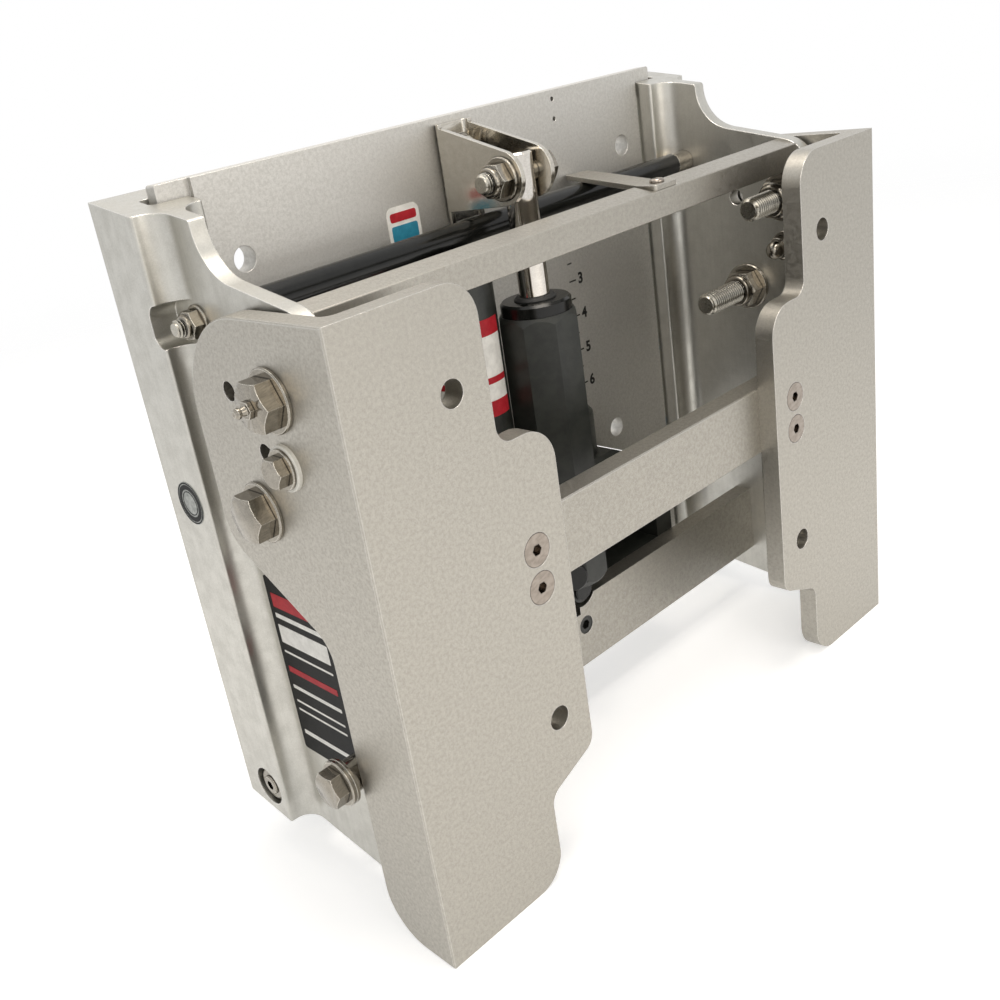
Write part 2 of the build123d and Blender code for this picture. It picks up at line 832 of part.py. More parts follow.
with BuildPart() as stop_spacers:
    with BuildSketch(outward(rail_outer, stop_bolt_y, stop_bolt_z)):
        Circle(stop_spacer_d / 2)
        Circle(stop_bolt_d / 2 + running_clearance, mode=Mode.SUBTRACT)
    extrude(amount=stop_spacer_length)
    mirror(about=Plane.YZ)

stop_washer = washer(stop_bolt_d / 2 + running_clearance, stop_washer_r, wide_washer_wall)
with BuildPart() as stop_washers:
    with Locations(
        outward(stop_washer_seat, stop_bolt_y, stop_bolt_z),
        outward(stop_washer_seat + wide_washer_wall, stop_bolt_y, stop_bolt_z),
        inward(rail_inner, stop_bolt_y, stop_bolt_z),
    ):
        add(stop_washer)
    mirror(about=Plane.YZ)

stop_nut = lock_nut(
    half_inch_flats, stop_nut_height, stop_nut_collar, stop_bolt_d / 2 + running_clearance
)
with BuildPart() as stop_nuts:
    with Locations(inward(rail_inner - wide_washer_wall, stop_bolt_y, stop_bolt_z)):
        add(stop_nut)
    mirror(about=Plane.YZ)

# Height pointer, let into the top of the upper crossbar
pointer_outline = (
    (52.0, top_bar_front + edge_break, 2.0),
    (53.8, top_bar_rear, 0),
    (100.2, motor_front - 1.0, 1.0),
    (116.5, motor_front - 6.5, 1.0),
    (74.6, top_bar_rear + 4.0, 0),
    (73.0, top_bar_front + edge_break, 2.0),
)
pointer_screw_at = (63.1, top_bar_front + top_bar_depth / 2)
pointer_screw_d = 4.8
with BuildPart() as height_pointer:
    with BuildSketch(Plane.XY.offset(pointer_seat_z)):
        rounded_face(pointer_outline)
        with Locations(pointer_screw_at):
            Circle(pointer_screw_d / 2 + running_clearance, mode=Mode.SUBTRACT)
    extrude(amount=pointer_wall)
with BuildPart() as seated_upper_crossbar:
    add(upper_crossbar.part)
    with BuildSketch(Plane.XY.offset(pointer_seat_z)):
        with Locations((62.5, top_bar_front + top_bar_depth / 2)):
            Rectangle(24.0, 2 * top_bar_depth)
    extrude(amount=top_bar_height, mode=Mode.SUBTRACT)
    with BuildSketch(Plane.XY.offset(pointer_seat_z)):
        with Locations(pointer_screw_at):
            Circle(pointer_screw_d / 2 + running_clearance)
    extrude(amount=-11.0, mode=Mode.SUBTRACT)
with BuildPart() as pointer_screw:
    with BuildSketch(Plane.XY.offset(pointer_seat_z + pointer_wall)):
        with Locations(pointer_screw_at):
            Circle(4.4)
    extrude(amount=2.4)
    fillet(pointer_screw.edges().group_by(Axis.Z)[-1], 1.6)
    with BuildSketch(Plane.XY.offset(pointer_seat_z + pointer_wall)):
        with Locations(pointer_screw_at):
            Circle(pointer_screw_d / 2)
    extrude(amount=-pointer_wall - 10.0)

# Ram barrel, an octagonal bar with turned ends and a blind bore
barrel_corner = ram_flats / 2 / 0.9239
turned_end_r = ram_flats / 2 - 1.0
turned_drop = (barrel_corner - turned_end_r) * 1.6
ram_centre = (0, ram_y)
barrel_blank = turned(
    (
        (0, ram_bottom),
        (turned_end_r, ram_bottom),
        (barrel_corner, ram_bottom + turned_drop),
        (barrel_corner, ram_top - turned_drop),
        (turned_end_r, ram_top),
        (0, ram_top),
    )
)
plug_r = 10.0
port_r = 7.0
port_depth = 3.0
plug_z = ram_bottom + plug_r + 0.5
plug_plane = Plane(origin=(0, ram_y, plug_z), x_dir=(0, 0, 1), z_dir=(-1, -1, 0)).offset(ram_flats / 2)
with BuildPart() as ram_barrel:
    with BuildSketch(Plane.XY.offset(ram_bottom)):
        with Locations(ram_centre):
            RegularPolygon(ram_flats / 2, 8, major_radius=False, rotation=22.5)
    extrude(amount=ram_top - ram_bottom)
    with Locations(ram_centre):
        add(barrel_blank, mode=Mode.INTERSECT)
    with BuildSketch(Plane.XY.offset(bore_bottom)):
        with Locations(ram_centre):
            Circle(bore_d / 2)
    extrude(amount=ram_top - ram_bottom, mode=Mode.SUBTRACT)
    with BuildSketch(plug_plane):
        Circle(port_r)
    extrude(amount=-port_depth, mode=Mode.SUBTRACT)

port_plug_body = flanged_plug(plug_r, 3.0, port_r - running_clearance, port_depth - slide_clearance)
with BuildPart() as barrel_port_plug:
    with Locations(plug_plane):
        add(port_plug_body)

# Gland cap with its spigot, spanner holes and seats for the two rod seals
seal_wall = 3.6
wiper_depth = 2.0
rod_seal_height = 4.0
rod_seal_floor = ram_top - gland_spigot + 5.0
gland_top = ram_top + gland_height
gland_blank = turned(
    (
        (0, ram_top - gland_spigot),
        (bore_d / 2 - running_clearance, ram_top - gland_spigot),
        (bore_d / 2 - running_clearance, ram_top),
        (gland_d / 2, ram_top),
        (gland_d / 2, gland_top - 1.5),
        (gland_d / 2 - 1.5, gland_top),
        (0, gland_top),
    )
)
with BuildPart() as gland_cap:
    with Locations(ram_centre):
        add(gland_blank)
    with Locations(Plane(origin=(0, ram_y, gland_top))):
        CounterBoreHole(rod_d / 2 + running_clearance, rod_d / 2 + seal_wall, wiper_depth)
    with BuildSketch(Plane.XY.offset(rod_seal_floor)):
        with Locations(ram_centre):
            Circle(rod_d / 2 + seal_wall)
    extrude(amount=rod_seal_height, mode=Mode.SUBTRACT)
    with BuildSketch(Plane.XY.offset(gland_top)):
        with Locations(ram_centre):
            with PolarLocations(gland_d / 2 - 5.0, 2, start_angle=20):
                Circle(2.4)
    extrude(amount=-4.0, mode=Mode.SUBTRACT)

with BuildPart() as rod_wiper:
    with BuildSketch(Plane.XY.offset(gland_top - wiper_depth)):
        with Locations(ram_centre):
            Circle(rod_d / 2 + seal_wall)
            Circle(rod_d / 2 + running_clearance, mode=Mode.SUBTRACT)
    extrude(amount=wiper_depth + 2.2)
    chamfer(rod_wiper.edges().group_by(Axis.Z)[-1].sort_by(SortBy.RADIUS)[-1], 1.6)

with BuildPart() as rod_seal:
    with BuildSketch(Plane.XY.offset(rod_seal_floor)):
        with Locations(ram_centre):
            Circle(rod_d / 2 + seal_wall - running_clearance)
            Circle(rod_d / 2 + running_clearance, mode=Mode.SUBTRACT)
    extrude(amount=rod_seal_height)

# Rod and piston
piston_r = bore_d / 2 - 2 * running_clearance
piston_seal_z = piston_bottom + piston_length / 2
piston_seal_height = 4.0
piston_seal_depth = 3.0
with BuildPart() as ram_rod:
    with BuildSketch(Plane.XY.offset(piston_bottom)):
        with Locations(ram_centre):
            Circle(rod_d / 2)
    extrude(amount=rod_top - piston_bottom)
    chamfer(ram_rod.edges().group_by(Axis.Z)[-1], 1.2)
    with BuildSketch(Plane.YZ):
        with Locations((ram_y, eye_z)):
            Circle(clevis_bolt_d / 2 + running_clearance)
    extrude(amount=rod_d, both=True, mode=Mode.SUBTRACT)

with BuildPart() as piston:
    with BuildSketch(Plane.XY.offset(piston_bottom)):
        with Locations(ram_centre):
            Circle(piston_r)
            Circle(rod_d / 2 + 0.01, mode=Mode.SUBTRACT)
    extrude(amount=piston_length)
    with BuildSketch(Plane.XY.offset(piston_seal_z - piston_seal_height / 2)):
        with Locations(ram_centre):
            Circle(bore_d)
            Circle(piston_r - piston_seal_depth, mode=Mode.SUBTRACT)
    extrude(amount=piston_seal_height, mode=Mode.SUBTRACT)

with BuildPart() as piston_seal:
    with BuildSketch(Plane.XY.offset(piston_seal_z - piston_seal_height / 2)):
        with Locations(ram_centre):
            Circle(bore_d / 2 - running_clearance)
            Circle(piston_r - piston_seal_depth + running_clearance, mode=Mode.SUBTRACT)
    extrude(amount=piston_seal_height)

# Pump base behind the cross plate: a foot under the reservoir, a block with a pocket in its front
# and a shoulder parallel to the arch, and a round boss through the notch, on which the ram stands
drain_r = 4.0
drain_depth = 8.0
drain_plane = forward(0, cross_plate_front, notch_z)
foot_rear = reservoir_y + reservoir_d / 2
with BuildPart() as pump_base:
    with BuildSketch(Plane.YZ.offset(base_left)):
        rounded_face(
            (
                (cross_plate_rear, base_bottom, 0),
                (cross_plate_rear, ram_bottom, 2.0),
                (foot_rear, ram_bottom, 2.0),
                (foot_rear, base_bottom, 4.0),
            )
        )
    extrude(amount=base_middle - base_left)
    with BuildSketch(Plane.XZ.offset(-cross_plate_rear)):
        rounded_face(
            (
                (base_middle, base_bottom, 0),
                (base_right, base_bottom, 2.0),
                (base_right, base_side_top, 2.0),
                (arch_flat_half, base_top, 0),
                (base_middle, base_top, 0),
            )
        )
    extrude(amount=cross_plate_rear - base_rear)
    with BuildSketch(Plane.XY.offset(cross_plate_top)):
        with Locations((base_middle, cross_plate_rear)):
            Rectangle(pocket_right - base_middle, pocket_rear - cross_plate_rear, align=Align.MIN)
    extrude(amount=pocket_height, mode=Mode.SUBTRACT)
    with BuildSketch(Plane.XZ.offset(-cross_plate_front)):
        with Locations((0, notch_z)):
            Circle(boss_radius)
        with Locations((0, ram_bottom)):
            Rectangle(
                2 * boss_radius, boss_radius, align=(Align.CENTER, Align.MIN), mode=Mode.SUBTRACT
            )
    extrude(amount=cross_plate_front - pocket_rear)
    with Locations(*[forward(x, cross_plate_rear, z) for x, z in base_bolt_places]):
        Hole(base_bolt_d / 2 + running_clearance, depth=base_bolt_grip)
    with BuildSketch(drain_plane):
        Circle(drain_r)
    extrude(amount=-drain_depth, mode=Mode.SUBTRACT)

drain_plug_body = flanged_plug(8.0, 2.5, drain_r - running_clearance, drain_depth - slide_clearance)
with BuildPart() as drain_plug:
    with Locations(drain_plane):
        add(drain_plug_body)

base_bolt_seat = cross_plate_front + base_bolt_head + 0.5
with BuildPart() as base_bolts:
    for x, z in base_bolt_places:
        with BuildSketch(forward(x, base_bolt_seat, z)):
            Circle(base_bolt_head_d / 2)
        extrude(amount=base_bolt_head)
        with BuildSketch(forward(x, base_bolt_seat, z)):
            Circle(base_bolt_d / 2)
        extrude(amount=base_bolt_seat - cross_plate_rear - base_bolt_grip + 2.0)
        with BuildSketch(forward(x, base_bolt_seat - base_bolt_head, z)):
            RegularPolygon(3.2, 6, major_radius=False)
        extrude(amount=-4.0, mode=Mode.SUBTRACT)

# Reservoir tube, its cap and filler plug
with BuildPart() as reservoir:
    with BuildSketch(Plane.XY.offset(ram_bottom)):
        with Locations((reservoir_x, reservoir_y)):
            Circle(reservoir_d / 2)
            Circle(reservoir_d / 2 - reservoir_wall, mode=Mode.SUBTRACT)
    extrude(amount=reservoir_top - ram_bottom)

filler_at = (reservoir_x, reservoir_y - filler_setback)
with BuildPart() as reservoir_cap:
    with BuildSketch(Plane.XY.offset(reservoir_top)):
        with Locations((reservoir_x, reservoir_y)):
            Circle(reservoir_d / 2)
    extrude(amount=cap_wall)
    chamfer(reservoir_cap.edges().group_by(Axis.Z)[-1], 1.5)
    with BuildSketch(Plane.XY.offset(reservoir_top)):
        with Locations((reservoir_x, reservoir_y)):
            Circle(reservoir_d / 2 - reservoir_wall - running_clearance)
    extrude(amount=-cap_plug_depth)
    with BuildSketch(Plane.XY.offset(reservoir_top - cap_plug_depth)):
        with Locations(filler_at):
            Circle(filler_bore_radius)
    extrude(amount=cap_plug_depth + cap_wall, mode=Mode.SUBTRACT)

filler_hexagon = hexagon_with_turned_corners(filler_flats, filler_head, 0, False)
with BuildPart() as filler_plug:
    with Locations((*filler_at, reservoir_top + cap_wall)):
        add(filler_hexagon)
    with BuildSketch(Plane.XY.offset(reservoir_top + cap_wall)):
        with Locations(filler_at):
            Circle(filler_bore_radius - running_clearance)
    extrude(amount=-10.0)

# Electric pump motor on top of the base
pump_y = (cross_plate_rear + base_rear) / 2
pump_blank = turned(
    (
        (0, base_top),
        (pump_d / 2, base_top),
        (pump_d / 2, pump_top - 4.0),
        (pump_d / 2 - 3.0, pump_top),
        (0, pump_top),
    )
)
with BuildPart() as pump_motor:
    with Locations((pump_x, pump_y)):
        add(pump_blank)

# Motor plate, whose clamping face stands proud of the tongue along each edge
motor_half_outline = (
    (motor_plate_edge, motor_plate_top, motor_top_round),
    (motor_plate_edge, leg_bottom, 2.0),
    (leg_inner, leg_bottom, 2.0),
    (leg_inner, leg_top, motor_corner_round),
    (arch_flat_half, arch_z, motor_corner_round),
)
mirrored_outline = [(-x, z, r) for x, z, r in reversed(motor_half_outline)]
clevis_screw_head_d = 18.0
clevis_screw_length = 31.0
clevis_screw_seat = flat_screw_seat(clevis_screw_d, clevis_screw_head_d, clevis_screw_length)
clevis_screw_planes = [
    Plane(origin=(0, motor_rear, z), z_dir=(0, 1, 0)) for z in clevis_screw_heights
]
with BuildPart() as motor_plate:
    with BuildSketch(Plane.XZ.offset(-motor_front)):
        rounded_face([*motor_half_outline, *mirrored_outline])
        with Locations(
            (upper_hole_spacing / 2, motor_hole_z),
            (-upper_hole_spacing / 2, motor_hole_z),
            (lower_hole_spacing / 2, motor_hole_z - hole_drop),
            (-lower_hole_spacing / 2, motor_hole_z - hole_drop),
        ):
            Circle(mounting_hole_d / 2, mode=Mode.SUBTRACT)
        with Locations(*[(scale_hole_x, z) for z in scale_hole_heights]):
            Circle(scale_hole_d / 2, mode=Mode.SUBTRACT)
    extrude(amount=-motor_plate_wall)
    with BuildSketch(Plane.XY.offset(leg_bottom)):
        for side in (1, -1):
            with Locations((side * motor_plate_edge, motor_front)):
                Rectangle(2 * tongue_width, 2 * (tongue_front - motor_front))
            with Locations((side * motor_plate_edge, motor_rear)):
                Rectangle(2 * tongue_width, 2 * tongue_relief)
    extrude(amount=motor_plate_top - leg_bottom, mode=Mode.SUBTRACT)
    with Locations(*clevis_screw_planes):
        add(clevis_screw_seat, mode=Mode.SUBTRACT)

# Clevis bracket, one bent plate whose ears hold the top of the rod
web_front = motor_front - clevis_wall
bend_outer = clevis_bend + clevis_wall
clevis_bolt_hole = clevis_bolt_d / 2 + running_clearance
with BuildPart() as clevis_bracket:
    with BuildSketch(Plane.XY.offset(clevis_foot)):
        rounded_face(
            (
                (-clevis_half, ram_y - ear_radius, 0),
                (-clevis_half, motor_front, bend_outer),
                (clevis_half, motor_front, bend_outer),
                (clevis_half, ram_y - ear_radius, 0),
                (clevis_gap / 2, ram_y - ear_radius, 0),
                (clevis_gap / 2, web_front, clevis_bend),
                (-clevis_gap / 2, web_front, clevis_bend),
                (-clevis_gap / 2, ram_y - ear_radius, 0),
            )
        )
    extrude(amount=clevis_top - clevis_foot)
    with BuildSketch(Plane.YZ.offset(-clevis_half)):
        with BuildLine() as ear_edge:
            CenterArc((ram_y, eye_z), ear_radius, 0, 360)
            Line((web_front, ear_bottom), (web_front, ear_top))
        make_hull(ear_edge.edges())
        with Locations((motor_front, clevis_foot)):
            Rectangle(bend_outer, clevis_top - clevis_foot, align=(Align.MAX, Align.MIN))
        with Locations((ram_y, eye_z)):
            Circle(clevis_bolt_hole, mode=Mode.SUBTRACT)
    extrude(amount=2 * clevis_half, mode=Mode.INTERSECT)
    with BuildSketch(Plane.XZ.offset(-web_front)):
        with Locations(*[(0, z) for z in clevis_screw_heights]):
            Circle(clevis_screw_d / 2 + running_clearance)
    extrude(amount=-clevis_wall, mode=Mode.SUBTRACT)

clevis_screw_body = flat_screw(clevis_screw_d, clevis_screw_head_d, clevis_screw_length, 5.6)
with BuildPart() as clevis_base_screws:
    with Locations(*clevis_screw_planes):
        add(clevis_screw_body)

clevis_base_washer_wall = 1.6
clevis_base_washer = washer(
    clevis_screw_d / 2 + running_clearance, clevis_gap / 2 - clevis_bend, clevis_base_washer_wall
)
with BuildPart() as clevis_base_washers:
    with Locations(*[forward(0, web_front, z) for z in clevis_screw_heights]):
        add(clevis_base_washer)

clevis_base_nut = lock_nut(three_eighths_flats, 6.0, 2.8, clevis_screw_d / 2 + running_clearance)
with BuildPart() as clevis_base_nuts:
    with Locations(
        *[forward(0, web_front - clevis_base_washer_wall, z) for z in clevis_screw_heights]
    ):
        add(clevis_base_nut)

# Clevis bolt through the ears and the rod, with its spacers, washers and nut
clevis_washer_r = 13.0
clevis_washer_wall = 2.0
clevis_head_seat = clevis_half + clevis_washer_wall
clevis_nut_height = 7.5
clevis_nut_collar = 3.4
clevis_bolt_length = 2 * clevis_head_seat + clevis_nut_height + clevis_nut_collar + 5.0
clevis_bolt_body = hex_bolt(clevis_bolt_d, half_inch_flats, half_inch_head, clevis_bolt_length)
with BuildPart() as clevis_bolt:
    with Locations(outward(clevis_head_seat, ram_y, eye_z)):
        add(clevis_bolt_body)

clevis_washer = washer(clevis_bolt_d / 2 + running_clearance, clevis_washer_r, clevis_washer_wall)
with BuildPart() as clevis_washers:
    with Locations(outward(clevis_half, ram_y, eye_z), inward(-clevis_half, ram_y, eye_z)):
        add(clevis_washer)

clevis_nut_body = lock_nut(
    half_inch_flats, clevis_nut_height, clevis_nut_collar, clevis_bolt_d / 2 + running_clearance
)
with BuildPart() as clevis_nut:
    with Locations(inward(-clevis_head_seat, ram_y, eye_z)):
        add(clevis_nut_body)

pieces = {
    "left_transom_bracket": left_transom_bracket,
    "right_transom_bracket": right_transom_bracket,
    "lower_crossbar": lower_crossbar,
    "crossbar_screws": crossbar_screws,
    "left_slide_rail": left_slide_rail,
    "right_slide_rail": right_slide_rail,
    "left_rail_liner": left_rail_liner,
    "right_rail_liner": right_rail_liner,
    "liner_adjusters": liner_adjusters,
    "liner_jam_nuts": liner_jam_nuts,
    "upper_crossbar": seated_upper_crossbar,
    "upper_crossbar_screws": upper_crossbar_screws,
    "tie_bar": tie_bar,
    "tie_bar_washers": tie_bar_washers,
    "tie_bar_nuts": tie_bar_nuts,
    "lower_cross_plate": lower_cross_plate,
    "web_spacers": web_spacers,
    "pivot_bolts": pivot_bolts,
    "pivot_washers": pivot_washers,
    "pivot_nuts": pivot_nuts,
    "grease_fittings": grease_fittings,
    "lock_bolts": lock_bolts,
    "lock_washers": lock_washers,
    "lock_nuts": lock_nuts,
    "guide_bolts": guide_bolts,
    "guide_slide_washers": guide_slide_washers,
    "guide_washers": guide_washers,
    "guide_acorn_nuts": guide_acorn_nuts,
    "stop_bolts": stop_bolts,
    "stop_spacers": stop_spacers,
    "stop_washers": stop_washers,
    "stop_nuts": stop_nuts,
    "height_pointer": height_pointer,
    "pointer_screw": pointer_screw,
    "ram_barrel": ram_barrel,
    "barrel_port_plug": barrel_port_plug,
    "gland_cap": gland_cap,
    "rod_wiper": rod_wiper,
    "rod_seal": rod_seal,
    "ram_rod": ram_rod,
    "piston": piston,
    "piston_seal": piston_seal,
    "pump_base": pump_base,
    "drain_plug": drain_plug,
    "base_bolts": base_bolts,
    "reservoir": reservoir,
    "reservoir_cap": reservoir_cap,
    "filler_plug": filler_plug,
    "pump_motor": pump_motor,
    "motor_plate": motor_plate,
    "clevis_bracket": clevis_bracket,
    "clevis_base_screws": clevis_base_screws,
    "clevis_base_washers": clevis_base_washers,
    "clevis_base_nuts": clevis_base_nuts,
    "clevis_bolt": clevis_bolt,
    "clevis_washers": clevis_washers,
    "clevis_nut": clevis_nut,
}
os.makedirs("parts", exist_ok=True)
for label, piece in pieces.items():
    piece.part.label = label
    export_step(piece.part, f"parts/{label}.step")
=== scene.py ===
"""Looks of a hydraulic jack plate for an outboard motor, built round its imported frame.

Sizes in names and fields are in millimetres, apart from the studio's, which are in metres.
X runs across the transom, Y from the transom towards the motor, Z up.
"""

import logging
import math
from dataclasses import dataclass
from enum import Enum
from typing import Callable, Sequence

import bmesh
import bpy
from mathutils import Matrix, Vector


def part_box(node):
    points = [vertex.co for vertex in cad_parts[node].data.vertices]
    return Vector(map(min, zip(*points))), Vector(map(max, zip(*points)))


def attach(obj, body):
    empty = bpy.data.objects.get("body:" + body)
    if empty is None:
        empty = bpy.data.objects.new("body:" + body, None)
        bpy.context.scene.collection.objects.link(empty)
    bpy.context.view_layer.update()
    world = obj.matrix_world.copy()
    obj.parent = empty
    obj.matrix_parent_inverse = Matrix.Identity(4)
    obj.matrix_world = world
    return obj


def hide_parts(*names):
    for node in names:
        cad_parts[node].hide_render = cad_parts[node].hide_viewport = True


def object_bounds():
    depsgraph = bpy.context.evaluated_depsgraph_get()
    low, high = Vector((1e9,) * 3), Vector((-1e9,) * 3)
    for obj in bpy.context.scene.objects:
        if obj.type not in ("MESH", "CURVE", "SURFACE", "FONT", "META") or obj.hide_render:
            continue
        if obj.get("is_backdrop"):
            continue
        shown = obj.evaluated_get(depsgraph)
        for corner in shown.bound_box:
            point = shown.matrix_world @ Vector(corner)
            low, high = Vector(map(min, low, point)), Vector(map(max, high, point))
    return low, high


MM = 0.001
FULL_TURN = 2 * math.pi
MERGE_DISTANCE = 0.002 * MM
SMOOTH_ANGLE = math.radians(30)
NOISE_SPREAD = (0.3, 0.7)
LOG = logging.getLogger("jack_plate")

Tree = bpy.types.NodeTree
Node = bpy.types.Node
Socket = bpy.types.NodeSocket
Piece = bpy.types.Object

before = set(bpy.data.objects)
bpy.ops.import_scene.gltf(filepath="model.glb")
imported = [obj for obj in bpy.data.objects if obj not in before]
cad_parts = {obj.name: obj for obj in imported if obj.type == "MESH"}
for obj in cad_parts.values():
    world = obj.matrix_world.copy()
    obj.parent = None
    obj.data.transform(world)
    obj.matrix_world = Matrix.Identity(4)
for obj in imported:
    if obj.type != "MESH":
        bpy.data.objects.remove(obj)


class Body(Enum):
    """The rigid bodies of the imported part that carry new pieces."""

    FRAME = "kick_frame"
    CARRIAGE = "motor_carriage"


class Slot(Enum):
    """The material slots of the record, named here; no piece is given one."""

    STAINLESS = "stainless_steel"
    GLOSS_BLACK = "gloss_black"
    SATIN_BLACK = "satin_black"
    NYLON = "white_nylon"


class Facing(Enum):
    """Which way a flat trim piece looks: its own right, its up and its outside."""

    FRONT = ((1, 0, 0), (0, 0, 1), (0, -1, 0))
    LEFT = ((0, -1, 0), (0, 0, 1), (-1, 0, 0))


def linear(hex_colour: str) -> tuple[float, float, float, float]:
    """Turns an sRGB hex colour to linear light.

    Args:
        hex_colour: six hex digits, red first.

    Returns:
        Red, green, blue and an alpha of 1, for a colour socket.
    """
    shares = [int(hex_colour[i : i + 2], 16) / 255 for i in (0, 2, 4)]
    light = [s / 12.92 if s <= 0.04045 else ((s + 0.055) / 1.055) ** 2.4 for s in shares]
    return (*light, 1.0)


def per_metre(size: float) -> float:
    """The scale of a pattern whose marks are so many millimetres across."""
    return 1 / (size * MM)


def radians(degrees: Sequence[float]) -> tuple[float, ...]:
    """Turns angles in degrees to radians."""
    return tuple(math.radians(angle) for angle in degrees)


def add_node(tree: Tree, kind: str, inputs: dict | None = None, **settings) -> Node:
    """Adds one node with its settings and its links.

    Args:
        tree: the material's or the world's node tree.
        kind: the node's type name.
        inputs: input name or number to a value, or to the socket that feeds it.
        settings: the node's own properties.

    Returns:
        The new node.
    """
    node = tree.nodes.new(kind)
    for name, value in settings.items():
        setattr(node, name, value)
    for name, value in (inputs or {}).items():
        if isinstance(value, Socket):
            tree.links.new(value, node.inputs[name])
        else:
            node.inputs[name].default_value = value
    return node


@dataclass(frozen=True)
class Finish:
    """A surface finish, which makes one material and hands it to every piece that has it."""

    name: str

    def material(self) -> bpy.types.Material:
        """Makes the finish's material when it is first asked for.

        Returns:
            The one material that all its pieces share.
        """
        made = bpy.data.materials.get(self.name)
        if made:
            return made
        made = bpy.data.materials.new(self.name)
        made.use_nodes = True
        tree = made.node_tree
        tree.nodes.clear()
        shader = add_node(tree, "ShaderNodeBsdfPrincipled")
        add_node(tree, "ShaderNodeOutputMaterial", {"Surface": shader.outputs[0]})
        place = add_node(tree, "ShaderNodeTexCoord").outputs["Object"]
        self.paint(tree, shader, place)
        return made

    def paint(self, tree: Tree, shader: Node, place: Socket) -> None:
        """Wires the finish's patterns into its shader; each finish has its own.

        Args:
            tree: the material's node tree.
            shader: the shader that they feed.
            place: where the patterns are read.
        """
        raise NotImplementedError

    def feed(self, tree: Tree, shader: Node, colour: Socket, rough: Socket, bump: Node) -> None:
        """Feeds a colour, a roughness and a relief into the shader.

        Args:
            tree: the material's node tree.
            shader: the shader.
            colour: the surface's colour.
            rough: its roughness.
            bump: the node that makes its relief.
        """
        tree.links.new(colour, shader.inputs["Base Color"])
        tree.links.new(rough, shader.inputs["Roughness"])
        tree.links.new(bump.outputs[0], shader.inputs["Normal"])

    def dress(self, *pieces: Piece) -> None:
        """Gives the material to pieces, in place of what they had.

        Args:
            pieces: the scene's own pieces.
        """
        for piece in pieces:
            piece.data.materials.clear()
            piece.data.materials.append(self.material())

    def dress_nodes(self, *nodes: str) -> None:
        """Gives the material to CAD nodes, through their object's slots.

        Args:
            nodes: the nodes' names.
        """
        for node in nodes:
            for material_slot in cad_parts[node].material_slots:
                material_slot.link = "OBJECT"
                material_slot.material = self.material()


def noise(tree: Tree, place: Socket, size: float, detail: float) -> Socket:
    """Soft noise from 0 to 1, whose marks are so many millimetres across."""
    inputs = {"Vector": place, "Scale": per_metre(size), "Detail": detail, "Roughness": 0.6}
    return add_node(tree, "ShaderNodeTexNoise", inputs).outputs["Fac"]


def ranged(tree: Tree, value: Socket, low: float, high: float, to_low: float, to_high: float) -> Socket:
    """Maps a value from one range to another, smoothly and clamped at both ends."""
    inputs = {0: value, 1: low, 2: high, 3: to_low, 4: to_high}
    return add_node(tree, "ShaderNodeMapRange", inputs, interpolation_type="SMOOTHSTEP").outputs[0]


def spread(tree: Tree, pattern: Socket, to_low: float, to_high: float) -> Socket:
    """Maps the middle of a noise, where nearly all of it lies, to a whole range."""
    return ranged(tree, pattern, *NOISE_SPREAD, to_low, to_high)


def combined(tree: Tree, operation: str, first: Socket, second: Socket | float) -> Socket:
    """One arithmetic step, such as ADD, between two values."""
    return add_node(tree, "ShaderNodeMath", {0: first, 1: second}, operation=operation).outputs[0]


def blended(tree: Tree, share: Socket, first: tuple | Socket, second: tuple | Socket) -> Socket:
    """Mixes two colours by a share from 0 to 1."""
    inputs = {0: share, 6: first, 7: second}
    return add_node(tree, "ShaderNodeMix", inputs, data_type="RGBA", clamp_factor=True).outputs[2]


def stretched(tree: Tree, place: Socket, sizes: Sequence[float], turn: Sequence[float]) -> Socket:
    """Noise drawn out into streaks.

    Args:
        tree: the material's node tree.
        place: where the pattern is read.
        sizes: the streaks' length along each axis, in millimetres.
        turn: how the streaks are turned first, in degrees.

    Returns:
        The streaks' strength, from 0 to 1.
    """
    turned = add_node(
        tree,
        "ShaderNodeVectorRotate",
        {"Vector": place, "Rotation": radians(turn)},
        rotation_type="EULER_XYZ",
    ).outputs[0]
    scales = tuple(per_metre(size) for size in sizes)
    scaled = add_node(tree, "ShaderNodeVectorMath", {0: turned, 1: scales}, operation="MULTIPLY").outputs[0]
    inputs = {"Vector": scaled, "Scale": 1.0, "Detail": 1.0, "Roughness": 0.5}
    return add_node(tree, "ShaderNodeTexNoise", inputs).outputs["Fac"]


def worn_edge(tree: Tree, width: float) -> tuple[Socket, Socket]:
    """Finds the edges of a piece, for painted light along them and a lower roughness: a painted highlight, or
    painted shade where the edge colour is dark.

    Args:
        tree: the material's node tree.
        width: how far the painted band reaches from an edge, in millimetres.

    Returns:
        The rounded normal, and the painted edge light's share, from 0 on a face to 1 on an edge.
    """
    # The share marks where an edge colour is painted on: painted highlight, or painted shade where that
    # colour is dark.
    whole, none = 0.88, 0.995
    rounded = add_node(tree, "ShaderNodeBevel", {"Radius": width * MM}, samples=4).outputs[0]
    flat = add_node(tree, "ShaderNodeNewGeometry").outputs["Normal"]
    pair = {0: rounded, 1: flat}
    agreement = add_node(tree, "ShaderNodeVectorMath", pair, operation="DOT_PRODUCT").outputs["Value"]
    return rounded, ranged(tree, agreement, none, whole, 0.0, 1.0)


def crevice(tree: Tree, reach: float) -> Socket:
    """How deep in a groove or against another piece a point lies, from 0 on a face to 1.

    Args:
        tree: the material's node tree.
        reach: how wide a groove still counts, in millimetres.

    Returns:
        The share, for darkening what cleaning doesn't reach.
    """
    closed, clear = 0.4, 0.9
    # Ambient occlusion here paints shade into grooves and where pieces meet.
    open_share = add_node(tree, "ShaderNodeAmbientOcclusion", {"Distance": reach * MM}, samples=8)
    return ranged(tree, open_share.outputs["AO"], closed, clear, 1.0, 0.0)


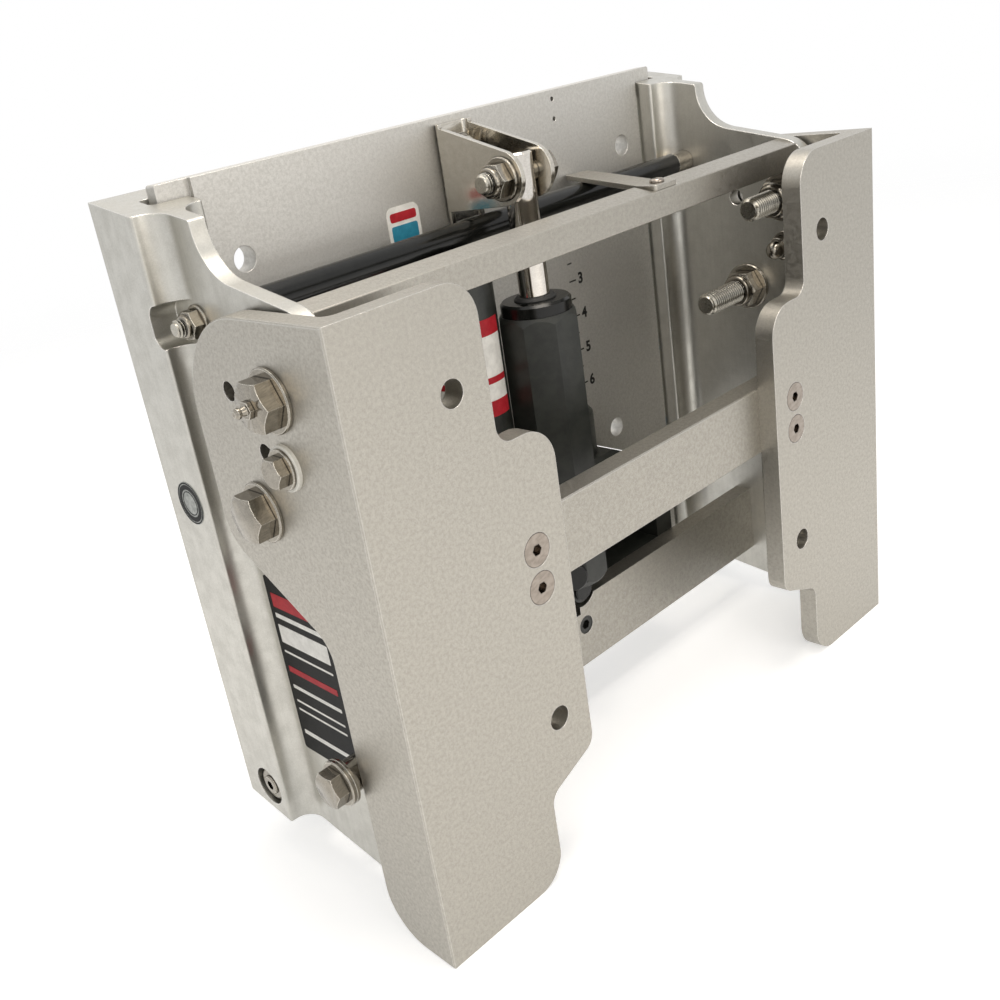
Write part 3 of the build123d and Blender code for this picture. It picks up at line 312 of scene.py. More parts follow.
@dataclass(frozen=True)
class TumbledAluminium(Finish):
    """Marine aluminium plate after vibratory tumbling: a warm pale grey, mottled, with short
    fine scratches every way, and a painted highlight along its edges."""

    dark: str = "A19D95"
    light: str = "B3AFA6"
    patch: float = 2.2
    grain: float = 0.7
    scratch: float = 5.0
    scratch_width: float = 0.3
    roughness: tuple[float, float] = (0.34, 0.5)
    # The edge colour is the fine scratches' colour and the painted highlight along edges.
    edge: str = "D5D3CE"
    edge_width: float = 0.7
    relief: float = 0.05
    scratch_turns: tuple[tuple[float, float, float], ...] = ((0, 35, 20), (70, 0, -40), (25, -60, 75))
    scratch_range: tuple[float, float] = (0.66, 0.74)
    scratch_share: float = 0.25
    polish: float = 0.14
    streak: float = 0.0
    streak_width: float = 2.2
    streak_share: float = 0.15

    def paint(self, tree: Tree, shader: Node, place: Socket) -> None:
        """Wires mottling, grain, scratches, drawn streaks and a painted highlight along the edges.

        Args:
            tree: the material's node tree.
            shader: the shader that they feed.
            place: where the patterns are read.
        """
        mottle = noise(tree, place, self.patch, 4.0)
        grain = noise(tree, place, self.grain, 2.0)
        mixed = combined(tree, "ADD", spread(tree, mottle, 0.0, 0.55), spread(tree, grain, 0.0, 0.45))
        scratches = None
        for turn in self.scratch_turns:
            sizes = (self.scratch_width, self.scratch_width, self.scratch)
            line = ranged(tree, stretched(tree, place, sizes, turn), *self.scratch_range, 0.0, 1.0)
            scratches = line if scratches is None else combined(tree, "MAXIMUM", scratches, line)
        if self.streak:
            drawn = stretched(tree, place, (self.streak_width, self.streak_width, self.streak), (0, 0, 0))
            mixed = combined(tree, "MULTIPLY", mixed, 1 - self.streak_share)
            mixed = combined(tree, "ADD", mixed, spread(tree, drawn, 0.0, self.streak_share))
        colour = blended(tree, mixed, linear(self.dark), linear(self.light))
        marked = combined(tree, "MULTIPLY", scratches, self.scratch_share)
        colour = blended(tree, marked, colour, linear(self.edge))
        # Painted highlight: edges blend towards the bright edge colour.
        rounded, painted_edge_share = worn_edge(tree, self.edge_width)
        colour = blended(tree, painted_edge_share, colour, linear(self.edge))
        rough = ranged(tree, mixed, 0.1, 0.9, *reversed(self.roughness))
        rough = combined(tree, "SUBTRACT", rough, combined(tree, "MULTIPLY", painted_edge_share, self.polish))
        height = combined(tree, "SUBTRACT", grain, combined(tree, "MULTIPLY", scratches, 0.5))
        relief = {"Strength": 0.5, "Distance": self.relief * MM, "Height": height, "Normal": rounded}
        bump = add_node(tree, "ShaderNodeBump", relief)
        shader.inputs["Metallic"].default_value = 1.0
        self.feed(tree, shader, colour, rough, bump)


@dataclass(frozen=True)
class MachinedSteel(Finish):
    """Stainless steel: fine tool marks on fasteners, a soft brushed sheen on sheet and a
    mirror on chromed bar, with a painted highlight along its edges and painted shade in grooves and where
    pieces meet."""

    dark: str = "837E75"
    light: str = "A09A8F"
    mark: float = 0.5
    mark_length: float = 5.0
    roughness: tuple[float, float] = (0.12, 0.22)
    # The edge colour is a painted highlight along edges, or painted shade where it is dark.
    edge: str = "E0DCD2"
    edge_width: float = 0.55
    relief: float = 0.012
    mark_turn: tuple[float, float, float] = (20, 12, 0)
    tarnish: float = 4.5
    # Painted shade: this dark colour darkens grooves, thread roots and joints by ambient occlusion.
    grime: str = "24211D"
    grime_reach: float = 1.2
    grime_share: float = 0.8

    def paint(self, tree: Tree, shader: Node, place: Socket) -> None:
        """Wires tool marks, tarnish, a painted edge highlight and painted shade in grooves and joints.

        Args:
            tree: the material's node tree.
            shader: the shader that they feed.
            place: where the patterns are read.
        """
        marks = stretched(tree, place, (self.mark_length, self.mark, self.mark), self.mark_turn)
        tarnish = noise(tree, place, self.tarnish, 2.0)
        mixed = combined(tree, "ADD", spread(tree, marks, 0.0, 0.6), spread(tree, tarnish, 0.0, 0.4))
        colour = blended(tree, mixed, linear(self.dark), linear(self.light))
        # Painted light along the edges, in the edge colour.
        rounded, painted_edge_share = worn_edge(tree, self.edge_width)
        colour = blended(tree, painted_edge_share, colour, linear(self.edge))
        # Painted shade: ambient occlusion darkens grooves, thread roots and where pieces meet.
        painted_shade = combined(tree, "MULTIPLY", crevice(tree, self.grime_reach), self.grime_share)
        colour = blended(tree, painted_shade, colour, linear(self.grime))
        rough = ranged(tree, mixed, 0.1, 0.9, *reversed(self.roughness))
        relief = {"Strength": 0.4, "Distance": self.relief * MM, "Height": marks, "Normal": rounded}
        bump = add_node(tree, "ShaderNodeBump", relief)
        shader.inputs["Metallic"].default_value = 1.0
        self.feed(tree, shader, colour, rough, bump)


@dataclass(frozen=True)
class Coating(Finish):
    """A coating or plastic over the whole piece: enamel, anodising, nylon, rubber, vinyl or
    ink, each with its own gloss, a faint unevenness and, where it has one, a stain."""

    dark: str = "141414"
    light: str = "1E1E1D"
    patch: float = 5.0
    grain: float = 0.6
    roughness: tuple[float, float] = (0.2, 0.35)
    ior: float = 1.5
    relief: float = 0.02
    stain: str = ""
    stain_size: float = 14.0
    stain_from: float = 0.6
    stain_fade: float = 0.08
    stain_share: float = 0.85

    def paint(self, tree: Tree, shader: Node, place: Socket) -> None:
        """Wires unevenness, gloss variation and the stain.

        Args:
            tree: the material's node tree.
            shader: the shader that they feed.
            place: where the patterns are read.
        """
        patches = noise(tree, place, self.patch, 3.0)
        grain = noise(tree, place, self.grain, 2.0)
        colour = blended(tree, spread(tree, patches, 0.0, 1.0), linear(self.dark), linear(self.light))
        if self.stain:
            spots = noise(tree, place, self.stain_size, 2.0)
            whole = self.stain_from + self.stain_fade
            stained = ranged(tree, spots, self.stain_from, whole, 0.0, self.stain_share)
            colour = blended(tree, stained, colour, linear(self.stain))
        rough = spread(tree, grain, *self.roughness)
        relief = {"Strength": 0.4, "Distance": self.relief * MM, "Height": grain}
        bump = add_node(tree, "ShaderNodeBump", relief)
        shader.inputs["IOR"].default_value = self.ior
        self.feed(tree, shader, colour, rough, bump)


# The plate's own finishes, each named for what the real one is
PLATE = TumbledAluminium("tumbled_aluminium_plate")
# A lighter copy of the plate's aluminium: painted light on the motor plate, which stands in the frame's
# shade.
LIFT_PLATE = TumbledAluminium(
    "tumbled_aluminium_lift_plate", dark="BAB8B3", light="CBC9C4", roughness=(0.46, 0.6)
)
BAR = TumbledAluminium("tumbled_aluminium_bar", dark="9B978F", light="AEAAA1")
# Its edge colour paints a highlight along the rails' edges.
RAIL = TumbledAluminium(
    "extruded_aluminium_rail", dark="B3B1AA", light="C6C4BD", roughness=(0.3, 0.44), streak=160.0,
    patch=11.0, edge="E2E0DB", edge_width=1.0,
)
FASTENER = MachinedSteel("turned_stainless_steel")
# Its edge colour paints highlights on the thread's crests, and its dark shade colour paints shade in the
# roots.
THREAD = MachinedSteel(
    "rolled_thread_stainless_steel", dark="A39F95", light="BDB9AE", edge="E4E0D6", edge_width=0.2,
    roughness=(0.22, 0.3), grime="151310", grime_reach=2.6, grime_share=1.0,
)
# Its dark edge colour paints shade round the screw heads' rims.
SOCKET_SCREW = MachinedSteel(
    "socket_screw_stainless_steel", dark="8B8279", light="A0978E", edge="38332E", edge_width=0.9,
    mark=2.0,
)
SHEET = MachinedSteel(
    "polished_stainless_sheet", dark="B9B4AA", light="CCC7BD", roughness=(0.16, 0.26), mark_length=20.0
)
CHROME = MachinedSteel(
    "hard_chromed_bar", dark="CBC5BD", light="DDD8D0", roughness=(0.05, 0.1), relief=0.004,
    mark_length=2.0,
)
ENAMEL = Coating("gloss_black_enamel", dark="0D0E0D", light="151614", roughness=(0.16, 0.26), ior=1.4)
ANODISED = Coating("satin_black_anodising", dark="1C1E1B", light="2A2C28", roughness=(0.34, 0.48), patch=9.0)
NYLON = Coating("white_nylon_washer", dark="D9D7CE", light="ECEAE2", roughness=(0.4, 0.55), ior=1.53)
LINER = Coating(
    "pale_nylon_liner", dark="C3C6C2", light="DADCD6", roughness=(0.35, 0.5), ior=1.53, stain="4E8FBF",
    stain_size=16.0, stain_from=0.56,
)
RUBBER = Coating("nitrile_rubber_seal", dark="161616", light="222222", roughness=(0.5, 0.7))
BLACK_VINYL = Coating("black_label_vinyl", dark="0E0E0E", light="151515", roughness=(0.4, 0.5), ior=1.22)
SILVER_FOIL = Coating("silver_label_foil", dark="7F8380", light="B4B7B3", roughness=(0.25, 0.4), patch=2.5)
WHITE_VINYL = Coating("white_label_vinyl", dark="DEDDD8", light="F1F0EB", roughness=(0.3, 0.42))
RED_VINYL = Coating("red_label_vinyl", dark="A3202A", light="B52A33", roughness=(0.4, 0.5), ior=1.3)
TEAL_VINYL = Coating("teal_label_vinyl", dark="2A7F9B", light="3590AC", roughness=(0.3, 0.42))
INK = Coating("black_scale_ink", dark="0F0F0F", light="1A1A1A", roughness=(0.45, 0.6), ior=1.3)


def begin(name: str, add: Callable, **size) -> Piece:
    """Adds a primitive by itself, with everything else deselected.

    Args:
        name: the new piece's name.
        add: the primitive's operator.
        size: the operator's settings.

    Returns:
        The new piece, selected and active.
    """
    bpy.ops.object.select_all(action="DESELECT")
    add(**size)
    piece = bpy.context.active_object
    piece.name = name
    return piece


def edit(piece: Piece, *steps: Callable) -> None:
    """Runs steps in edit mode, with nothing else selected.

    Args:
        piece: the piece to edit.
        steps: what to call, in order.
    """
    bpy.ops.object.select_all(action="DESELECT")
    piece.select_set(True)
    bpy.context.view_layer.objects.active = piece
    bpy.ops.object.mode_set(mode="EDIT")
    for step in steps:
        step()
    bpy.ops.object.mode_set(mode="OBJECT")


def select_vertices(test: Callable[[Vector], bool]) -> None:
    """In edit mode, selects some vertices and no others.

    Args:
        test: says of a vertex's place whether it is selected.
    """
    bpy.ops.mesh.select_mode(type="VERT")
    bpy.ops.mesh.select_all(action="DESELECT")
    mesh = bpy.context.active_object.data
    shape = bmesh.from_edit_mesh(mesh)
    for vertex in shape.verts:
        vertex.select_set(test(vertex.co))
    shape.select_flush_mode()
    bmesh.update_edit_mesh(mesh)


def select_everything() -> None:
    """In edit mode, selects the whole piece."""
    bpy.ops.mesh.select_all(action="SELECT")


def raised(thickness: float) -> Callable:
    """The edit step that gives a flat piece so many millimetres of thickness."""
    move = {"value": (0, 0, thickness * MM)}
    return lambda: bpy.ops.mesh.extrude_region_move(TRANSFORM_OT_translate=move)


def merge_and_face_out() -> None:
    """In edit mode, merges doubles and points all faces outwards."""
    select_everything()
    bpy.ops.mesh.remove_doubles(threshold=MERGE_DISTANCE)
    bpy.ops.mesh.normals_make_consistent(inside=False)


def own_copy(node: str, name: str) -> Piece:
    """Copies a CAD node with its mesh, merged to closed shapes.

    Args:
        node: the CAD node's name.
        name: the copy's name.

    Returns:
        The copy, which is still to be dressed.
    """
    copy = bpy.data.objects.new(name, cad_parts[node].data.copy())
    bpy.context.scene.collection.objects.link(copy)
    edit(copy, merge_and_face_out)
    if copy.data.has_custom_normals:
        bpy.ops.mesh.customdata_custom_splitnormals_clear()
    return copy


def cut_off(piece: Piece, point: Vector, beyond: Vector) -> None:
    """Cuts a piece at a plane, drops what lies beyond it and closes the cut.

    Args:
        piece: the piece to cut.
        point: a point of the plane.
        beyond: the direction in which everything goes.
    """
    plane = {"plane_co": point, "plane_no": beyond}
    edit(
        piece,
        select_everything,
        lambda: bpy.ops.mesh.bisect(use_fill=True, clear_outer=True, **plane),
        merge_and_face_out,
    )


def placed(facing: Facing, x: float, y: float, z: float) -> Matrix:
    """The matrix that stands a flat piece at a point, in millimetres, looking one way."""
    turn = Matrix(facing.value).transposed().to_4x4()
    return Matrix.Translation(Vector((x, y, z)) * MM) @ turn


def joined(pieces: Sequence[Piece], name: str) -> Piece:
    """Joins pieces into one.

    Args:
        pieces: what is joined, with each material kept.
        name: the whole's name.

    Returns:
        The whole.
    """
    bpy.ops.object.select_all(action="DESELECT")
    for piece in pieces:
        piece.select_set(True)
    bpy.context.view_layer.objects.active = pieces[0]
    bpy.ops.object.join()
    pieces[0].name = name
    return pieces[0]


def finished(piece: Piece, finish: Finish, body: Body, stands_for: Sequence[str] = ()) -> Piece:
    """Dresses a piece, lets it ride on its body and reports it.

    Args:
        piece: the finished mesh, whose place is in its vertices.
        finish: its surface, unless its parts were dressed before they were joined.
        body: the body that carries it.
        stands_for: the CAD nodes that it replaces.

    Returns:
        The piece.
    """
    bpy.ops.object.select_all(action="DESELECT")
    piece.select_set(True)
    bpy.context.view_layer.objects.active = piece
    bpy.ops.object.shade_smooth_by_angle(angle=SMOOTH_ANGLE)
    if not piece.data.materials:
        finish.dress(piece)
    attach(piece, body.value)
    if stands_for:
        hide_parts(*stands_for)
    LOG.info("%s: %d faces, on %s, %s", piece.name, len(piece.data.polygons), body.value, finish.name)
    return piece


def label_slab(
    name: str, width: float, height: float, corner: float, thickness: float, stand: Matrix
) -> Piece:
    """A thin rectangle with round corners, as a label or a printed mark.

    Args:
        name: the piece's name.
        width: its width.
        height: its height.
        corner: the radius of its corners.
        thickness: how far it stands out.
        stand: where it stands and which way it looks.

    Returns:
        The slab, its place in its mesh.
    """
    slab = begin(name, bpy.ops.mesh.primitive_plane_add, size=1.0)
    slab.data.transform(Matrix.Diagonal((width * MM, height * MM, 1.0, 1.0)))
    edit(
        slab,
        select_everything,
        lambda: bpy.ops.mesh.bevel(offset=corner * MM, segments=6, affect="VERTICES", offset_type="OFFSET"),
        select_everything,
        raised(thickness),
        merge_and_face_out,
    )
    slab.data.transform(stand)
    return slab


def disc(name: str, radius: float, thickness: float, stand: Matrix, hole: float = 0.0) -> Piece:
    """A thin disc or ring with a softened rim.

    Args:
        name: the piece's name.
        radius: its outer radius.
        thickness: how far it stands out.
        stand: where it stands and which way it looks.
        hole: the radius of its hole, or 0 for none.

    Returns:
        The disc, its place in its mesh.
    """
    plate = begin(name, bpy.ops.mesh.primitive_circle_add, vertices=64, radius=radius * MM, fill_type="NGON")

    def open_hole() -> None:
        """Insets the face to the hole's size and takes it out."""
        select_everything()
        bpy.ops.mesh.inset(thickness=(radius - hole) * MM)
        bpy.ops.mesh.delete(type="FACE")

    steps = [open_hole] if hole else []
    edit(plate, *steps, select_everything, raised(thickness), merge_and_face_out)
    plate.data.transform(stand)
    return plate


@dataclass
class ThreadedEnd:
    """The screw thread that shows at the end of a bolt, from where its nut ends to its tip."""

    diameter: float
    pitch: float
    start: Vector
    tip: Vector
    steps: int = 40
    depth_share: float = 0.6
    tip_share: float = 0.9
    root_to: float = 0.12
    crest_from: float = 0.5
    crest_to: float = 0.62
    turns_below: int = 2
    spare_turns: int = 4

    def cut_profile(self) -> Piece:
        """Draws one pitch of the thread: a flat root, a slope up, a narrow crest and a slope down.

        Returns:
            The open chain of edges that the screw sweeps.
        """
        depth = self.depth_share * self.pitch
        root, crest = self.diameter / 2 - depth, self.diameter / 2
        corners = [(root, 0.0), (root, self.root_to), (crest, self.crest_from), (crest, self.crest_to)]
        profile = begin("thread_profile", bpy.ops.mesh.primitive_plane_add, size=1.0)

        def open_chain() -> None:
            """Leaves the plane's outline without its face and its last edge."""
            bpy.ops.mesh.delete(type="ONLY_FACE")
            bpy.ops.mesh.select_mode(type="EDGE")
            bpy.ops.mesh.select_all(action="DESELECT")
            shape = bmesh.from_edit_mesh(profile.data)
            shape.edges.ensure_lookup_table()
            shape.edges[0].select_set(True)
            bmesh.update_edit_mesh(profile.data)
            bpy.ops.mesh.delete(type="EDGE")

        edit(profile, select_everything, open_chain)
        mesh = profile.data
        links = [list(edge.vertices) for edge in mesh.edges]
        chain = [next(v.index for v in mesh.vertices if sum(v.index in link for link in links) == 1)]
        while len(chain) < len(mesh.vertices):
            for pair in links:
                if chain[-1] in pair:
                    other = pair[1 - pair.index(chain[-1])]
                    if other not in chain:
                        chain.append(other)
        mesh.vertices.add(1)
        mesh.edges.add(1)
        closing = len(mesh.vertices) - 1
        mesh.edges[-1].vertices = (chain[-1], closing)
        for index, (radius, share) in zip([*chain, closing], [*corners, (root, 1.0)]):
            mesh.vertices[index].co = (radius * MM, 0.0, (share - self.turns_below) * self.pitch * MM)
        return profile

    def make(self) -> Piece:
        """The closed thread, standing where the bolt's end was.

        Returns:
            The thread as a closed solid of its own.
        """
        along = self.tip - self.start
        length = along.length
        thread = self.cut_profile()
        screw = thread.modifiers.new("turns", "SCREW")
        screw.axis = "Z"
        screw.angle = FULL_TURN
        screw.screw_offset = self.pitch * MM
        screw.iterations = math.ceil(length / self.pitch) + self.spare_turns
        screw.steps = screw.render_steps = self.steps
        screw.use_merge_vertices = True
        screw.merge_threshold = MERGE_DISTANCE
        bpy.ops.object.modifier_apply(modifier=screw.name)
        cut_off(thread, Vector((0, 0, 0)), Vector((0, 0, -1)))
        cut_off(thread, Vector((0, 0, length * MM)), Vector((0, 0, 1)))
        chamfer = self.tip_share * self.pitch
        for vertex in thread.data.vertices:
            past = vertex.co.z / MM - (length - chamfer)
            radius = math.hypot(vertex.co.x, vertex.co.y) / MM
            most = self.diameter / 2 - past
            if past > 0 and radius > most:
                vertex.co.x *= most / radius
                vertex.co.y *= most / radius
        turn = along.to_track_quat("Z", "Y").to_matrix().to_4x4()
        thread.data.transform(Matrix.Translation(self.start * MM) @ turn)
        THREAD.dress(thread)
        return thread


@dataclass
class ThreadedBolts:
    """Bolts of one CAD node, whose plain ends become real screw threads."""

    node: str
    ends: list[ThreadedEnd]
    longest: float = 150.0

    def bare_copy(self, end: ThreadedEnd, number: int) -> Piece:
        """Copies the one bolt that has this end, cut off where its thread starts.

        Args:
            end: the thread that belongs to the bolt.
            number: the bolt's number in its node.

        Returns:
            The bolt without its end.
        """
        copy = own_copy(self.node, f"{self.node}_{number}")
        axis = (end.tip - end.start).normalized()

        def far_from_axis(place: Vector) -> bool:
            """Whether a vertex at this place belongs to another bolt of the node."""
            offset = place / MM - end.start
            apart = (offset - axis * offset.dot(axis)).length
            return apart > 2 * end.diameter or abs(offset.dot(axis)) > self.longest

        edit(copy, lambda: select_vertices(far_from_axis), lambda: bpy.ops.mesh.delete(type="VERT"))
        cut_off(copy, end.start * MM, axis)
        return copy

    def make(self, body: Body, finish: Finish, slot: Slot = Slot.STAINLESS) -> Piece:
        """Makes all bolts of the node with their threads.

        Args:
            body: the body that carries them.
            finish: their surface, apart from the threads.
            slot: the record's material slot; not used.

        Returns:
            The bolts as one piece.
        """
        parts: list[Piece] = []
        for number, end in enumerate(self.ends):
            bare = self.bare_copy(end, number)
            finish.dress(bare)
            parts += [bare, end.make()]
        return finished(joined(parts, f"{self.node}_threaded"), finish, body, [self.node])


def both_sides(x: float, y: float, z: float, to_x: float, diameter: float, pitch: float) -> list[ThreadedEnd]:
    """The thread of a bolt on the right-hand side, and of its twin on the left."""
    spans = ((Vector((side * x, y, z)), Vector((side * to_x, y, z))) for side in (1, -1))
    return [ThreadedEnd(diameter, pitch, start, tip) for start, tip in spans]


@dataclass
class TransomBrackets:
    """The two brackets that bolt to the transom, and the crossbar between them."""

    def build(self) -> None:
        """Dresses the brackets, the bar and its screws."""
        PLATE.dress_nodes("left_transom_bracket", "right_transom_bracket")
        BAR.dress_nodes("lower_crossbar")
        SOCKET_SCREW.dress_nodes("crossbar_screws")


@dataclass
class SlideRails:
    """The tilting frame's rails, liners and bars, with the marks on the left-hand rail."""

    label_y: float = 103.5
    label_z: float = -166.0
    label_width: float = 55.0
    label_height: float = 118.0
    label_corner: float = 2.0
    label_thickness: float = 0.25
    bar_width: float = 47.0
    red_bars: tuple[tuple[float, float], ...] = ((44.0, 9.0), (-2.0, 4.0))
    white_bars: tuple[tuple[float, float], ...] = (
        (34.0, 3.0), (22.0, 12.0), (10.0, 1.4), (-14.0, 2.4), (-24.0, 1.4), (-30.0, 1.4), (-46.0, 3.0)
    )
    bar_corner: float = 0.5
    mark_thickness: float = 0.12
    web_depth: float = 15.875
    badge_y: float = 163.0
    badge_z: float = -63.0
    badge_radius: float = 13.0
    badge_rings: tuple[tuple[float, float], ...] = ((0.4, 1.2), (1.8, 4.6), (5.6, 6.2))

    def dress(self) -> None:
        """Dresses the rails, liners, bars and plate."""
        RAIL.dress_nodes("left_slide_rail", "right_slide_rail")
        LINER.dress_nodes("left_rail_liner", "right_rail_liner")
        BAR.dress_nodes("upper_crossbar", "lower_cross_plate", "height_pointer")
        SOCKET_SCREW.dress_nodes("upper_crossbar_screws", "pointer_screw")
        FASTENER.dress_nodes("liner_adjusters", "liner_jam_nuts", "tie_bar_washers", "tie_bar_nuts")

    def side_label(self) -> None:
        """A plain black label on the left rail's web, with red and white bars."""
        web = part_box("left_slide_rail")[0].x / MM + self.web_depth
        face = placed(Facing.LEFT, web, self.label_y, self.label_z)
        slab = label_slab(
            "rail_label", self.label_width, self.label_height, self.label_corner, self.label_thickness, face
        )
        finished(slab, BLACK_VINYL, Body.FRAME)
        front = face @ Matrix.Translation((0, 0, self.label_thickness * MM))
        groups = [
            ("rail_label_red_bars", RED_VINYL, Slot.SATIN_BLACK, self.red_bars),
            ("rail_label_white_bars", WHITE_VINYL, Slot.NYLON, self.white_bars),
        ]
        for name, finish, slot, bars in groups:
            parts = []
            for up, height in bars:
                place = front @ Matrix.Translation((0, up * MM, 0))
                size = (self.bar_width, height, self.bar_corner, self.mark_thickness)
                parts.append(label_slab("bar", *size, place))
            finished(joined(parts, name), finish, Body.FRAME)

    def badge(self) -> None:
        """A plain round badge on the left rail's outer face: dark rings on a silver field."""
        face = placed(Facing.LEFT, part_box("left_slide_rail")[0].x / MM, self.badge_y, self.badge_z)
        front = face @ Matrix.Translation((0, 0, self.label_thickness * MM))
        field_disc = disc("rail_badge", self.badge_radius, self.label_thickness, face)
        finished(field_disc, SILVER_FOIL, Body.FRAME)
        rings = [
            disc("ring", self.badge_radius - outer, self.mark_thickness, front, self.badge_radius - inner)
            for outer, inner in self.badge_rings
        ]
        finished(joined(rings, "rail_badge_rings"), BLACK_VINYL, Body.FRAME)

    def build(self) -> None:
        """Builds the marks and dresses the rest."""
        self.dress()
        self.side_label()
        self.badge()


@dataclass
class TieBar:
    """The black bar between the rails, with a bright threaded stud at each end."""

    y: float = 130.0
    z: float = 40.0
    shoulder: float = 187.3
    nut_face: float = 223.2
    tip: float = 227.8
    diameter: float = 9.525
    pitch: float = 1.6

    def build(self) -> None:
        """Parts the bar from its studs and cuts their threads."""
        ends = both_sides(self.nut_face, self.y, self.z, self.tip, self.diameter, self.pitch)
        bar = own_copy("tie_bar", "tie_bar_enamelled")
        ENAMEL.dress(bar)
        studs: list[Piece] = []
        for end in ends:
            outward = (end.tip - end.start).normalized()
            shoulder = Vector((outward.x * self.shoulder, self.y, self.z)) * MM
            cut_off(bar, shoulder, outward)
            stud = own_copy("tie_bar", "stud")
            cut_off(stud, shoulder, -outward)
            cut_off(stud, end.start * MM, outward)
            FASTENER.dress(stud)
            studs += [stud, end.make()]
        finished(bar, ENAMEL, Body.FRAME, ["tie_bar"])
        finished(joined(studs, "tie_bar_studs"), FASTENER, Body.FRAME, ["tie_bar"])


@dataclass
class SideFasteners:
    """Pivot, lock, guide and stop bolts of both sides."""

    pivot_y: float = 50.8
    pivot_z: float = 12.7
    lock_y: float = 82.4
    lock_z: float = -50.8
    nut_face: float = 186.4
    pivot_tip: float = 160.0
    lock_tip: float = 150.0
    big_diameter: float = 15.875
    big_pitch: float = 2.31
    stop_y: float = 60.625
    stop_z: float = -205.0
    stop_nut_face: float = 189.4
    stop_tip: float = 184.4
    stop_diameter: float = 12.7
    stop_pitch: float = 1.95

    def dress(self) -> None:
        """Dresses the washers, spacers, nuts and fittings."""
        FASTENER.dress_nodes(
            "pivot_washers", "pivot_nuts", "grease_fittings", "lock_washers", "lock_nuts", "guide_bolts",
            "guide_washers", "guide_acorn_nuts", "stop_spacers", "stop_washers", "stop_nuts",
        )
        NYLON.dress_nodes("web_spacers", "guide_slide_washers")

    def build(self) -> None:
        """Builds the threaded bolts and dresses the rest."""
        self.dress()
        big, small = (self.big_diameter, self.big_pitch), (self.stop_diameter, self.stop_pitch)
        bolts = {
            "pivot_bolts": (self.nut_face, self.pivot_y, self.pivot_z, self.pivot_tip, *big),
            "lock_bolts": (self.nut_face, self.lock_y, self.lock_z, self.lock_tip, *big),
            "stop_bolts": (self.stop_nut_face, self.stop_y, self.stop_z, self.stop_tip, *small),
        }
        for node, span in bolts.items():
            ThreadedBolts(node, both_sides(*span)).make(Body.FRAME, FASTENER)


@dataclass
class LiftRam:
    """The ram with its rod, cap and seals, the pump unit and the labelled reservoir tube."""

    tube_x: float = -40.5
    tube_y: float = 127.5
    tube_radius: float = 24.5
    label_turn: float = 228.0
    label_sweep: float = 72.0
    label_bottom: float = -68.0
    label_top: float = -7.0
    red_bands: tuple[tuple[float, float], ...] = ((-68.2, -58.0), (-47.0, -43.0), (-17.0, -6.8))
    label_thickness: float = 0.2
    band_rise: float = 0.1
    label_sides: int = 120

    def wrap(self, name: str, bottom: float, top: float, thickness: float) -> Piece:
        """A label that lies round the tube.

        Args:
            name: the piece's name.
            bottom: its lower edge.
            top: its upper edge.
            thickness: how far it stands out from the tube.

        Returns:
            The label, its place in its mesh.
        """
        radius = self.tube_radius * MM
        size = {"vertices": self.label_sides, "radius": radius, "depth": (top - bottom) * MM}
        label = begin(name, bpy.ops.mesh.primitive_cylinder_add, end_fill_type="NOTHING", **size)
        turn = math.radians(self.label_turn)
        middle = Vector((math.cos(turn), math.sin(turn), 0))
        least = math.cos(math.radians(self.label_sweep)) * radius
        edit(
            label,
            lambda: select_vertices(lambda place: place.dot(middle) < least),
            lambda: bpy.ops.mesh.delete(type="VERT"),
        )
        wall = label.modifiers.new("wall", "SOLIDIFY")
        wall.thickness = thickness * MM
        wall.offset = 1.0
        bpy.ops.object.modifier_apply(modifier=wall.name)
        centre = Vector((self.tube_x, self.tube_y, (top + bottom) / 2))
        label.data.transform(Matrix.Translation(centre * MM))
        return label

    def reservoir_label(self) -> None:
        """A plain white wrap with red bands."""
        field_wrap = self.wrap("reservoir_label", self.label_bottom, self.label_top, self.label_thickness)
        finished(field_wrap, WHITE_VINYL, Body.FRAME)
        thickness = self.label_thickness + self.band_rise
        bands = [self.wrap("band", low, high, thickness) for low, high in self.red_bands]
        finished(joined(bands, "reservoir_label_bands"), RED_VINYL, Body.FRAME)

    def build(self) -> None:
        """Dresses the ram and the pump unit, and builds the tube's label."""
        ANODISED.dress_nodes("ram_barrel", "pump_base", "base_bolts", "reservoir", "pump_motor")
        ENAMEL.dress_nodes("gland_cap", "barrel_port_plug", "drain_plug", "reservoir_cap", "filler_plug")
        RUBBER.dress_nodes("rod_wiper", "rod_seal", "piston_seal")
        CHROME.dress_nodes("ram_rod")
        PLATE.dress_nodes("piston")
        self.reservoir_label()


